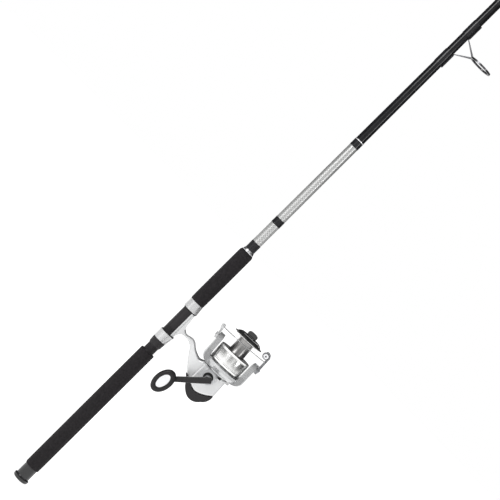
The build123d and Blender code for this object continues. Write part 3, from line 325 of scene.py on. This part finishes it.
@dataclass(frozen=True)
class Plastic:
    """Moulded plastic or lacquer: a colour, a gloss, fine texture and faint mottling."""

    colour: Colour
    gloss: float = 0.3
    texture: float = 900.0
    depth: float = 0.00002
    coat: float = 0.0
    metallic: float = 0.0

    def make(self, name: str) -> bpy.types.Material:
        """Give the moulded surface its grain and an uneven gloss."""
        recipe = Recipe(name)
        lighter = tuple(min(1.0, c * 1.16 + 0.002) for c in self.colour)
        recipe.colour(recipe.ramp(recipe.noise(70.0, 4.0), [(0.35, self.colour), (0.65, lighter)]))
        recipe.roughness(recipe.noise(240.0, 3.0), self.gloss * 0.82, self.gloss * 1.18)
        recipe.set(Coat_Weight=self.coat, Coat_Roughness=0.08, Metallic=self.metallic,
                   Specular_IOR_Level=0.3)
        recipe.bump(recipe.noise(self.texture, 2.0), self.depth, 0.6)
        return recipe.material


class Grain(Enum):
    """Which way the tool marks of a metal run."""

    ROUND_ROD = "round the rod"
    ROUND_REEL = "round the spool's axis"
    ROUND_CRANK = "round the crank's axis"
    LENGTHWISE = "along the rod"
    NONE = "no direction"


@dataclass(frozen=True)
class Metal:
    """Machined, brushed, cast or drawn metal with marks that follow its making."""

    colour: Colour
    gloss: float = 0.25
    grain: Grain = Grain.NONE
    marks: float = 0.00002
    pitch: float = 0.00035

    def make(self, name: str) -> bpy.types.Material:
        """Lay tool marks in the grain's direction over a slightly uneven metal."""
        recipe = Recipe(name)
        darker = tuple(c * 0.95 for c in self.colour)
        recipe.set(Metallic=1.0)
        if self.grain is Grain.NONE:
            marks = recipe.noise(1400.0, 3.0)
        elif self.grain is Grain.LENGTHWISE:
            marks = recipe.noise(1.0, 3.0, recipe.stretched((3200.0, 3200.0, 60.0)))
        else:
            axis, point = {
                Grain.ROUND_ROD: ((0.0, 0.0, 1.0), (0.0, 0.0, 0.0)),
                Grain.ROUND_REEL: (REEL_UP, REEL_CENTRE),
                Grain.ROUND_CRANK: ((0.0, 1.0, 0.0), (0.0, 0.0, 0.0)),
            }[self.grain]
            wave = recipe.maths("SINE", recipe.maths(
                "MULTIPLY", recipe.along(axis, point), 2 * math.pi / self.pitch))
            marks = recipe.total(recipe.maths("MULTIPLY_ADD", wave, 0.5, 0.5),
                                 recipe.noise(500.0, 2.0))
        recipe.colour(recipe.ramp(recipe.noise(160.0, 4.0), [(0.3, darker), (0.7, self.colour)]))
        recipe.roughness(recipe.noise(420.0, 3.0), self.gloss * 0.94, self.gloss * 1.08)
        recipe.bump(marks, self.marks, 0.16)
        return recipe.material


@dataclass(frozen=True)
class Paint:
    """Sprayed silver: fine metal flake in a pale ground, under clear lacquer."""

    colour: Colour
    gloss: float = 0.34
    metallic: float = 0.45
    coat: float = 0.4

    def make(self, name: str) -> bpy.types.Material:
        """Scatter flakes in the ground and leave a faint orange peel in the lacquer."""
        recipe = Recipe(name)
        dull = tuple(c * 0.95 for c in self.colour)
        bright = tuple(min(1.0, c * 1.04) for c in self.colour)
        recipe.colour(recipe.ramp(recipe.noise(3800.0, 1.0), [(0.35, dull), (0.65, bright)]))
        recipe.roughness(recipe.noise(300.0, 3.0), self.gloss * 0.85, self.gloss * 1.15)
        recipe.set(Metallic=self.metallic, Coat_Weight=self.coat, Coat_Roughness=0.12)
        recipe.bump(recipe.noise(420.0, 2.0), 0.00001, 0.1)
        return recipe.material


@dataclass(frozen=True)
class Whipping:
    """Fine black thread wound side by side under clear varnish, with a painted highlight on each
    turn.
    """

    colour: Colour = (0.006, 0.006, 0.007)
    thread: float = 0.00028

    def make(self, name: str) -> bpy.types.Material:
        """Ripple the surface once for each turn of thread, and paint a highlight on each turn's
        crown with painted shade between turns.
        """
        recipe = Recipe(name)
        turns = recipe.maths("SINE", recipe.maths(
            "MULTIPLY", recipe.along((0.0, 0.0, 1.0)), 2 * math.pi / self.thread))
        share = recipe.maths("MULTIPLY_ADD", turns, 0.5, 0.5)
        # painted highlight: each turn's crown is coloured lighter than the black thread, and the
        # dip between turns stays dark as painted shade
        light = tuple(c * 2.6 + 0.004 for c in self.colour)
        recipe.colour(recipe.mixed(share, self.colour, light))
        recipe.roughness(recipe.noise(600.0, 2.0), 0.12, 0.22)
        recipe.set(Coat_Weight=0.25, Coat_Roughness=0.04, Specular_IOR_Level=0.25)
        recipe.bump(share, 0.00002, 0.12)
        return recipe.material


@dataclass(frozen=True)
class RodBlank:
    """Lacquered glass-fibre tube: black, with a silver woven sleeve on part of its length."""

    silver_from: float = 0.585
    silver_to: float = 0.8675
    weave: float = 0.0052
    strands: int = 14

    def make(self, name: str) -> bpy.types.Material:
        """Cross two sets of helical strands and show them in silver between two heights.

        A strand is where the sine of (strands x angle +- 2 pi height / weave) is near 1.
        """
        recipe = Recipe(name)
        height = recipe.along((0.0, 0.0, 1.0))
        angle = recipe.maths("MULTIPLY", recipe.around(ROD_AXES), float(self.strands))
        climb = recipe.maths("MULTIPLY", height, 2 * math.pi / self.weave)
        one = recipe.maths("SINE", recipe.maths("ADD", angle, climb))
        other = recipe.maths("SINE", recipe.maths("SUBTRACT", angle, climb))
        cross = recipe.maths("MULTIPLY_ADD", recipe.maths("MAXIMUM", one, other), 0.5, 0.5)
        weave = recipe.ramp(cross, [(0.35, (0.36, 0.36, 0.355)), (0.62, (0.48, 0.48, 0.475)),
                                    (0.95, (0.66, 0.665, 0.66))])
        haze = recipe.ramp(recipe.noise(90.0, 4.0), [(0.3, (0.006, 0.006, 0.007)),
                                                     (0.75, (0.014, 0.014, 0.016))])
        inside = recipe.band(height, self.silver_from, self.silver_to)
        recipe.colour(recipe.mixed(inside, haze, weave))
        recipe.tree.links.new(recipe.maths("MULTIPLY", inside, 0.85),
                              recipe.shader.inputs["Metallic"])
        recipe.roughness(inside, 0.12, 0.34)
        recipe.set(Coat_Weight=0.08, Coat_Roughness=0.04, Specular_IOR_Level=0.25)
        recipe.bump(recipe.maths("MULTIPLY", cross, inside), 0.00001, 0.1)
        return recipe.material


@dataclass(frozen=True)
class SpoolMetal:
    """Turned and polished aluminium: bright skirt, gunmetal arbor and lip, ring marks with painted
    shade in their grooves.
    """

    bright: Colour = (0.83, 0.83, 0.82)
    gunmetal: Colour = (0.36, 0.355, 0.35)
    arbor_from: float = 0.0405
    arbor_to: float = 0.0722

    def make(self, name: str) -> bpy.types.Material:
        """Colour the metal by height along the spool, cut fine rings in it, and darken the arbor's
        ring grooves as painted shade.
        """
        recipe = Recipe(name)
        height = recipe.along(REEL_UP, REEL_CENTRE)
        arbor = recipe.band(height, self.arbor_from, self.arbor_to)
        rings = recipe.maths("SINE", recipe.maths("MULTIPLY", height, 2 * math.pi / 0.0011))
        share = recipe.maths("MULTIPLY_ADD", rings, 0.5, 0.5)
        # painted shade: on the arbor the colour is dimmed in the low half of each turned ring,
        # where the groove is
        dim = tuple(c * 0.66 for c in self.gunmetal)
        recipe.colour(recipe.mixed(arbor, self.bright, recipe.mixed(share, dim, self.gunmetal)))
        recipe.roughness(arbor, 0.2, 0.28)
        recipe.set(Metallic=1.0)
        fine = recipe.maths("SINE", recipe.maths("MULTIPLY", height, 2 * math.pi / 0.00036))
        recipe.bump(recipe.total(share, recipe.maths("MULTIPLY", fine, 0.25)), 0.00001, 0.05)
        return recipe.material


@dataclass(frozen=True)
class Felt:
    """Pressed felt or woven friction disc."""

    colour: Colour = (0.17, 0.16, 0.145)

    def make(self, name: str) -> bpy.types.Material:
        """Mat short fibres together."""
        recipe = Recipe(name)
        light = tuple(c * 1.5 for c in self.colour)
        recipe.colour(recipe.ramp(recipe.noise(900.0, 6.0), [(0.3, self.colour), (0.7, light)]))
        recipe.roughness(recipe.noise(700.0), 0.85, 0.98)
        recipe.bump(recipe.noise(1600.0, 5.0), 0.0001, 0.8)
        return recipe.material


Finish = Foam | Plastic | Metal | Paint | Whipping | RodBlank | SpoolMetal | Felt

FINISHES: dict[str, Finish] = {
    "grip_foam": Foam(),
    "butt_gloss": Plastic((0.009, 0.009, 0.0095), 0.2, 700.0, 0.00001, 0.5),
    "rod_blank": RodBlank(),
    "bare_fibre": Plastic((0.12, 0.13, 0.11), 0.4),
    "whipping": Whipping(),
    "trim_silver": Metal((0.86, 0.86, 0.87), 0.24, Grain.ROUND_ROD),
    "seat_nylon": Plastic((0.014, 0.0125, 0.014), 0.42, 1100.0, 0.00004),
    "hood_silver": Metal((0.6, 0.602, 0.605), 0.27, Grain.ROUND_ROD, 0.000002, 0.0004),
    "liner_nylon": Plastic((0.008, 0.008, 0.0085), 0.5, 1100.0, 0.00004),
    "guide_wire": Metal((0.15, 0.15, 0.158), 0.24, Grain.NONE, 0.00001),
    "guide_ceramic": Plastic((0.02, 0.021, 0.024), 0.12, 500.0, 0.000005, 0.4),
    "body_silver": Paint((0.66, 0.665, 0.668), 0.3, 0.75, 0.3),
    "rotor_silver": Paint((0.56, 0.565, 0.57), 0.28, 0.85, 0.3),
    "screw_steel": Metal((0.5, 0.5, 0.51), 0.3),
    "bumper_black": Plastic((0.01, 0.0095, 0.0102), 0.3, 1000.0, 0.00002, 0.1),
    "bearing_steel": Metal((0.62, 0.62, 0.63), 0.18, Grain.ROUND_CRANK),
    "retainer_grey": Paint((0.6, 0.605, 0.615), 0.36, 0.4, 0.2),
    "seal_rubber": Plastic((0.012, 0.012, 0.012), 0.62, 1300.0, 0.00005),
    "lever_grey": Plastic((0.6, 0.6, 0.6), 0.34),
    "pinion_brass": Metal((0.78, 0.56, 0.25), 0.26, Grain.ROUND_REEL),
    "gear_zinc": Metal((0.5, 0.505, 0.52), 0.36),
    "shaft_steel": Metal((0.62, 0.625, 0.635), 0.16, Grain.ROUND_REEL),
    "shank_steel": Metal((0.34, 0.345, 0.355), 0.14, Grain.ROUND_CRANK),
    "crank_black": Plastic((0.007, 0.0065, 0.0072), 0.24, 800.0, 0.00001, 0.15),
    "knob_rubber": Plastic((0.009, 0.0085, 0.0092), 0.4, 1200.0, 0.00004),
    "plate_silver": Metal((0.84, 0.845, 0.855), 0.3, Grain.LENGTHWISE, 0.00001),
    "gear_acetal": Plastic((0.74, 0.72, 0.66), 0.36),
    "bail_grey": Paint((0.2, 0.203, 0.212), 0.3, 0.55, 0.4),
    "roller_chrome": Metal((0.84, 0.845, 0.86), 0.08, Grain.ROUND_CRANK, 0.000005),
    "bail_wire": Metal((0.34, 0.345, 0.35), 0.2),
    "spool_metal": SpoolMetal(),
    "drag_felt": Felt(),
    "drag_gloss": Plastic((0.006, 0.006, 0.0065), 0.13, 500.0, 0.000005, 0.8),
}


class Wardrobe:
    """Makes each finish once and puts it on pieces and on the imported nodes."""

    def __init__(self, nodes: dict[str, bpy.types.Object]) -> None:
        """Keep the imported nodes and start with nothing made."""
        self.nodes = nodes
        self.made: dict[str, bpy.types.Material] = {}

    def cloth(self, finish: str) -> bpy.types.Material:
        """The material of a finish, made on first use."""
        if finish not in self.made:
            self.made[finish] = FINISHES[finish].make(finish)
        return self.made[finish]

    def dress(self, piece: bpy.types.Object, finish: str) -> bpy.types.Object:
        """Put a finish on a piece, in place of all that it wears."""
        slots = piece.material_slots
        if slots:
            for slot in slots:
                slot.material = self.cloth(finish)
        else:
            piece.data.materials.append(self.cloth(finish))
        return piece

    def dress_nodes(self, finishes: dict[str, str]) -> None:
        """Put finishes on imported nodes, and report them.

        Args:
            finishes: node name to finish name.
        """
        for node, finish in finishes.items():
            self.dress(self.nodes[node], finish)
            LOG.info("node %s wears %s", node, finish)

    def seat(self, piece: bpy.types.Object, body: str, slot: str, finish: str,
             *nodes: str) -> bpy.types.Object:
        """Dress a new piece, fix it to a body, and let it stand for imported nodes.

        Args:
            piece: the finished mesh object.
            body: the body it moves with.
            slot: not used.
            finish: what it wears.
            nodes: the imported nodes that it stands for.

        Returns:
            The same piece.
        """
        self.dress(piece, finish)
        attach(piece, body)
        if nodes:
            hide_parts(*nodes)
        LOG.info("piece %s rides on %s with %d faces", piece.name, body, len(piece.data.polygons))
        return piece


# ---------------------------------------------------------------- the rod
@dataclass
class Handle:
    """Butt cap, the two foam grips and the silver check at their top."""

    bore: float = 9.7
    rear: tuple[float, float, float] = (32.0, 331.0, 15.2)
    fore: tuple[float, float, float] = (456.0, 585.0, 14.7)
    edge: float = 1.6
    body: str = "rod_and_reel"

    def grip(self, name: str, start: float, end: float, radius: float,
             nose: float) -> bpy.types.Object:
        """A turned sleeve of foam with softly rounded ends.

        The outside swells by 0.15 mm x sin(pi x share of the length), as cut foam does.

        Args:
            name: the piece's name.
            start: lower end, in millimetres.
            end: upper end, in millimetres.
            radius: outer radius, in millimetres.
            nose: radius of the upper end, in millimetres.

        Returns:
            The foam sleeve.
        """
        run = end - start
        wall = np.linspace(0.06, 0.94, 24)
        outside = [(radius - 0.15 + 0.15 * math.sin(math.pi * s), start + s * run) for s in wall]
        corners = [(self.bore, start), (radius - 0.3, start), *outside,
                   (radius - 0.2, end - 4.0), (nose, end), (self.bore, end)]
        profile = rounded(corners, self.edge, 4)
        return lathe(name, profile, ROD_AXES, 112, crease=1.0)

    def build(self, wardrobe: Wardrobe) -> None:
        """Make the grips and dress the rest of the handle."""
        for name, (start, end, radius), nose in (("rear_grip", self.rear, 15.0),
                                                 ("foregrip", self.fore, 12.6)):
            piece = self.grip(f"{name}_foam", start, end, radius, nose)
            wardrobe.seat(piece, self.body, "eva_foam", "grip_foam", name)
        wardrobe.dress_nodes({"butt_cap": "butt_gloss", "winding_check": "trim_silver"})


@dataclass
class ReelSeat:
    """Threaded barrel, lock nut and the two silver hoods with their liners."""

    def build(self, wardrobe: Wardrobe) -> None:
        """Dress the seat's pieces."""
        wardrobe.dress_nodes({
            "seat_barrel": "seat_nylon", "seat_lock_nut": "seat_nylon",
            "sliding_hood": "hood_silver", "fixed_hood": "hood_silver",
            "sliding_hood_liner": "liner_nylon", "fixed_hood_liner": "liner_nylon",
        })


@dataclass
class BlankAndGuides:
    """Both halves of the blank, the joint between them, the whippings and the line guides."""

    tip_guides: int = 5

    def build(self, wardrobe: Wardrobe) -> None:
        """Dress the blank, its wraps and its guides."""
        frames = {f"tip_guide_{i}_frame": "guide_wire" for i in range(1, self.tip_guides + 1)}
        wardrobe.dress_nodes({
            "blank_butt": "rod_blank", "blank_tip": "rod_blank", "ferrule_spigot": "bare_fibre",
            "trim_wraps": "whipping", "trim_ring": "trim_silver",
            "stripper_guide_frame": "guide_wire", "stripper_guide_ring": "guide_ceramic",
            "stripper_guide_wraps": "whipping", "tip_wraps": "whipping", "tip_top": "guide_wire",
            "tip_guide_rings": "guide_ceramic", **frames,
        })


# ---------------------------------------------------------------- the reel
@dataclass
class Housing:
    """The reel's body with its stem and foot, covers, bearings, seal and switch."""

    def build(self, wardrobe: Wardrobe) -> None:
        """Dress the housing and what is fixed in it."""
        wardrobe.dress_nodes({
            "reel_body": "body_silver", "side_cover": "body_silver", "rear_cover": "bumper_black",
            "side_cover_screws": "screw_steel", "handle_bearings": "bearing_steel",
            "bearing_retainer": "retainer_grey", "handle_seal": "seal_rubber",
            "side_cap": "bumper_black", "pinion_bearing": "bearing_steel",
            "anti_reverse_clutch": "bearing_steel", "slider_guide_rod": "shaft_steel",
            "anti_reverse_lever": "lever_grey", "oscillation_gear": "gear_acetal",
            "oscillation_slider": "gear_zinc", "main_shaft": "shaft_steel",
        })


@dataclass
class Crank:
    """Drive gear, handle shank, arm and the thick oval knob with its silver plate."""

    centre: tuple[float, float] = (55.291, 326.627)
    tilt: float = 81.0
    post_bore: float = 3.06
    pocket: tuple[float, float, float] = (5.2, 97.6, 101.2)
    plate_bed: tuple[float, float] = (15.0, 8.2)
    stations: tuple[tuple[float, float, float], ...] = (
        (72.0, 8.2, 7.2), (72.6, 9.2, 8.1), (80.0, 13.4, 10.5), (86.0, 18.6, 12.9),
        (91.0, 22.6, 14.9), (95.5, 24.8, 16.0), (98.6, 25.3, 16.3), (101.2, 24.9, 15.9),
        (103.0, 23.4, 14.5), (104.0, 20.6, 12.1),
    )
    body: str = "knob"

    def knob(self) -> bpy.types.Object:
        """Carry an oval along the knob's post, with a sunk bed for the plate.

        Each station is an oval x = a cos t, y = b sin t at its depth; depths between
        stations follow a cubic through them.

        Returns:
            The knob, open along its post.
        """
        table = np.array(self.stations)
        share = np.linspace(0, 1, len(table))
        fine = np.linspace(0, 1, 72)
        slope = np.gradient(table, share, axis=0)
        cell = np.clip(np.searchsorted(share, fine, side="right") - 1, 0, len(table) - 2)
        step = share[1] - share[0]
        s = ((fine - share[cell]) / step)[:, None]
        outside = ((2 * s**3 - 3 * s**2 + 1) * table[cell]
                   + (s**3 - 2 * s**2 + s) * step * slope[cell]
                   + (3 * s**2 - 2 * s**3) * table[cell + 1]
                   + (s**3 - s**2) * step * slope[cell + 1])
        bed, bore, (pocket_r, pocket_low, pocket_high) = self.plate_bed, self.post_bore, self.pocket
        inside = np.array([
            (104.0, bed[0] + 0.5, bed[1] + 0.5), (103.6, bed[0], bed[1]), (pocket_high, *bed),
            (pocket_high, pocket_r, pocket_r), (pocket_low, pocket_r, pocket_r),
            (pocket_low, bore, bore), (72.0, bore, bore),
        ])
        rows = np.concatenate([outside, inside])
        turn = np.linspace(0, 2 * np.pi, 96, endpoint=False)
        long_way, short_way = rows[:, 1:2] * np.cos(turn), rows[:, 2:3] * np.sin(turn)
        angle = math.radians(self.tilt)
        points = np.stack([
            self.centre[0] + long_way * math.cos(angle) - short_way * math.sin(angle),
            np.broadcast_to(-rows[:, :1], long_way.shape),
            self.centre[1] + long_way * math.sin(angle) + short_way * math.cos(angle),
        ], -1) * MM
        return grid_mesh("handle_knob_grip", points, True, True, 0.7)

    def build(self, wardrobe: Wardrobe) -> None:
        """Make the knob and dress the crank."""
        wardrobe.seat(self.knob(), self.body, "knob_black", "knob_rubber", "handle_knob")
        wardrobe.dress_nodes({
            "knob_end_cap": "plate_silver", "crank_arm": "crank_black",
            "crank_shank": "shank_steel", "knob_post": "shank_steel", "drive_gear": "gear_zinc",
        })


@dataclass
class RotorAndBail:
    """Rotor, its pinion and nut, and the bail with its arm, roller, holder and wire."""

    def build(self, wardrobe: Wardrobe) -> None:
        """Dress what turns round the spool."""
        wardrobe.dress_nodes({
            "rotor": "rotor_silver", "rotor_nut": "pinion_brass", "pinion_gear": "pinion_brass",
            "bail_pivot_screws": "screw_steel", "bail_arm": "bail_grey",
            "line_roller": "roller_chrome", "bail_holder": "body_silver", "bail_wire": "bail_wire",
        })


@dataclass
class Spool:
    """The spool with its knurled skirt, and the drag stack, cap and knob on it."""

    knurls: int = 120
    knurl_depth: float = 0.16
    knurl_bands: tuple[tuple[float, float], ...] = ((35.2, 39.6), (14.9, 16.7))
    body: str = "spool"
    outer: np.ndarray = field(default_factory=lambda: np.ones((1, 1)), init=False)

    def relief(self, height: np.ndarray, turn: np.ndarray) -> np.ndarray:
        """Depth of the knurling: a rounded tooth wave round the skirt inside each band.

        Args:
            height: heights along the spool, in metres, one row for each profile point.
            turn: angles round the spool, in radians.

        Returns:
            What to add to the radius, in metres.
        """
        wave = 0.5 - 0.5 * np.cos(self.knurls * turn)
        inside = np.zeros_like(height)
        for low, high in self.knurl_bands:
            inside = np.maximum(inside, ((height > low * MM) & (height < high * MM)).astype(float))
        return -self.knurl_depth * MM * wave * inside * self.outer

    def shell(self) -> bpy.types.Object:
        """Turn the spool: skirt, arbor, lip and the drag's chamber, in one closed profile."""
        outline = [
            (2.06, 38.0), (2.06, 62.0), (13.2, 62.0), (13.2, 74.6), (30.7, 74.6), (31.3, 74.1),
            (31.3, 73.3), (30.6, 72.8), (26.0, 71.7), (15.6, 70.3), (15.3, 68.0), (16.1, 43.0),
            (16.9, 41.2), (31.8, 40.9), (32.5, 40.3),
            (32.5, 39.7), (32.5, 39.4), (32.5, 35.4), (32.5, 35.1), (32.5, 17.3), (32.2, 16.9),
            (32.0, 16.6), (32.0, 15.0), (32.2, 14.7), (32.5, 14.3), (32.5, 12.6), (32.1, 10.6),
            (31.0, 8.6), (29.6, 8.6), (30.6, 12.0), (30.6, 39.0), (14.4, 39.0), (13.4, 60.0),
            (6.5, 60.0), (6.5, 38.0),
        ]
        profile = np.array(outline) * MM
        self.outer = (profile[:, :1] > 31.9 * MM).astype(float)
        return lathe("spool_shell", profile, REEL_AXES, self.knurls * 4,
                     relief=self.relief, crease=0.5)

    def build(self, wardrobe: Wardrobe) -> None:
        """Make the spool and dress the drag."""
        wardrobe.seat(self.shell(), self.body, "spool_aluminium", "spool_metal", "spool")
        wardrobe.dress_nodes({
            "drag_washers": "drag_felt", "drag_cap": "drag_gloss", "drag_knob": "drag_gloss",
        })


# ---------------------------------------------------------------- the studio
@dataclass
class Studio:
    """Pale floor, soft light and the camera."""

    target: tuple[float, float, float] = (0.0001, 0.0, 0.5908)
    distance: float = 3.0
    rise: float = 2.8
    roll: float = 45.2
    width: float = 0.9
    floor_r: float = 12.0
    sky: tuple[tuple[float, float], ...] = (
        (0.0, 0.2), (0.18, 0.85), (0.34, 0.8), (0.44, 0.16), (0.56, 0.5), (0.7, 0.75), (0.86, 0.2),
        (1.0, 0.12),
    )
    depth: tuple[float, float] = (1.15, 0.07)
    lamps: tuple[tuple[tuple[float, float, float], float, float], ...] = (
        ((-1.9, -2.4, 1.9), 1.3, 34.0),
        ((2.2, -1.6, 1.1), 0.7, 8.0),
        ((0.3, 1.9, 1.9), 1.2, 8.0),
    )

    def floor(self) -> None:
        """A large pale disc just under the butt cap: rings of points about the rod's axis."""
        rings = np.array([0.0, 0.5, 2.0, 6.0, self.floor_r])[:, None]
        turn = np.linspace(0, 2 * np.pi, 96, endpoint=False)
        points = np.stack([rings * np.cos(turn), rings * np.sin(turn),
                           np.full((5, 96), -0.0012)], -1)
        mesh = bpy.data.meshes.new("floor")
        row, column = np.meshgrid(np.arange(4), np.arange(96), indexing="ij")
        nxt = (column + 1) % 96
        corners = np.stack([row * 96 + column, (row + 1) * 96 + column, (row + 1) * 96 + nxt,
                            row * 96 + nxt], -1)
        mesh.from_pydata(points.reshape(-1, 3).tolist(), [], corners.reshape(-1, 4).tolist())
        disc = bpy.data.objects.new("floor", mesh)
        bpy.context.scene.collection.objects.link(disc)
        recipe = Recipe("floor_pale")
        recipe.colour(recipe.ramp(recipe.noise(3.0), [(0.3, (0.9, 0.9, 0.9)),
                                                      (0.7, (0.93, 0.93, 0.93))]))
        recipe.set(Roughness=0.9, Specular_IOR_Level=0.0, Emission_Color=(1.0, 1.0, 1.0),
                   Emission_Strength=0.9)
        disc.data.materials.append(recipe.material)

    def light(self) -> None:
        """Three soft lamps in a tent: banded from side to side, and darker behind the rod.

        The camera sees the tent as plain white; the object reflects its bands and dark back.
        """
        world = bpy.data.worlds.new("studio")
        bpy.context.scene.world = world
        world.use_nodes = True
        nodes, links = world.node_tree.nodes, world.node_tree.links
        background = nodes["Background"]
        seen = nodes.new("ShaderNodeLightPath").outputs["Is Camera Ray"]
        place = nodes.new("ShaderNodeTexCoord").outputs["Generated"]
        split = nodes.new("ShaderNodeSeparateXYZ")
        links.new(place, split.inputs[0])
        spread = nodes.new("ShaderNodeMapRange")
        links.new(split.outputs["X"], spread.inputs["Value"])
        spread.inputs["From Min"].default_value = -0.9
        spread.inputs["From Max"].default_value = 0.9
        shade = nodes.new("ShaderNodeValToRGB")
        links.new(spread.outputs[0], shade.inputs[0])
        bands = shade.color_ramp.elements
        while len(bands) < len(self.sky):
            bands.new(0.5)
        for band, (at, level) in zip(bands, self.sky):
            band.position, band.color = at, (level, level, level, 1.0)
        pick = nodes.new("ShaderNodeMix")
        pick.data_type = "RGBA"
        links.new(seen, pick.inputs["Factor"])
        deep = nodes.new("ShaderNodeMapRange")
        links.new(split.outputs["Y"], deep.inputs["Value"])
        deep.inputs["From Min"].default_value, deep.inputs["From Max"].default_value = -0.8, 0.75
        deep.inputs["To Min"].default_value, deep.inputs["To Max"].default_value = self.depth
        dimmed = nodes.new("ShaderNodeMix")
        dimmed.data_type, dimmed.blend_type = "RGBA", "MULTIPLY"
        dimmed.inputs["Factor"].default_value = 1.0
        links.new(shade.outputs[0], dimmed.inputs[6])
        links.new(deep.outputs[0], dimmed.inputs[7])
        links.new(dimmed.outputs[2], pick.inputs[6])
        pick.inputs[7].default_value = (1.0, 1.0, 1.0, 1.0)
        links.new(pick.outputs[2], background.inputs["Color"])
        background.inputs["Strength"].default_value = 1.0
        for number, (place_at, size, power) in enumerate(self.lamps):
            lamp = bpy.data.lights.new(f"softbox_{number}", "AREA")
            lamp.shape, lamp.size, lamp.energy = "SQUARE", size, power
            holder = bpy.data.objects.new(f"softbox_{number}", lamp)
            bpy.context.scene.collection.objects.link(holder)
            aim = np.array([0.05, 0.0, 0.55]) - np.array(place_at)
            holder.location = place_at
            holder.rotation_mode = "QUATERNION"
            holder.rotation_quaternion = Vector(aim).to_track_quat("-Z", "Y")

    def camera(self) -> None:
        """A long lens opposite the rod, a little above, rolled so that the rod lies aslant."""
        rise, roll = math.radians(self.rise), math.radians(self.roll)
        back = Vector((0.0, -math.cos(rise), math.sin(rise)))
        level, upright = Vector((1.0, 0.0, 0.0)), Vector((0.0, math.sin(rise), math.cos(rise)))
        right = level * math.cos(roll) + upright * math.sin(roll)
        up = upright * math.cos(roll) - level * math.sin(roll)
        data = bpy.data.cameras.new("camera")
        data.sensor_width = 36.0
        data.lens = 36.0 * self.distance / self.width
        data.clip_start, data.clip_end = 0.05, 100.0
        holder = bpy.data.objects.new("camera", data)
        bpy.context.scene.collection.objects.link(holder)
        turn = Matrix((right, up, back)).transposed()
        place = Vector(self.target) + back * self.distance
        holder.matrix_world = Matrix.Translation(place) @ turn.to_4x4()
        bpy.context.scene.camera = holder

    def build(self) -> None:
        """Set up the floor, the light and the camera."""
        self.floor()
        self.light()
        self.camera()
        scene = bpy.context.scene
        scene.view_settings.view_transform = "Standard"
        scene.view_settings.look = "None"
        LOG.info("studio ready")


def main() -> None:
    """Load the model, build each sub-assembly in order and set the studio."""
    logging.basicConfig(level=logging.INFO, format="%(name)s: %(message)s")
    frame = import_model()
    wardrobe = Wardrobe(frame["nodes"])
    assemblies = (
        Handle(), ReelSeat(), BlankAndGuides(), Housing(), Crank(), RotorAndBail(), Spool(),
    )
    for assembly in assemblies:
        assembly.build(wardrobe)
        LOG.info("%s done", type(assembly).__name__)
    Studio().build()


if __name__ == "__main__":
    main()
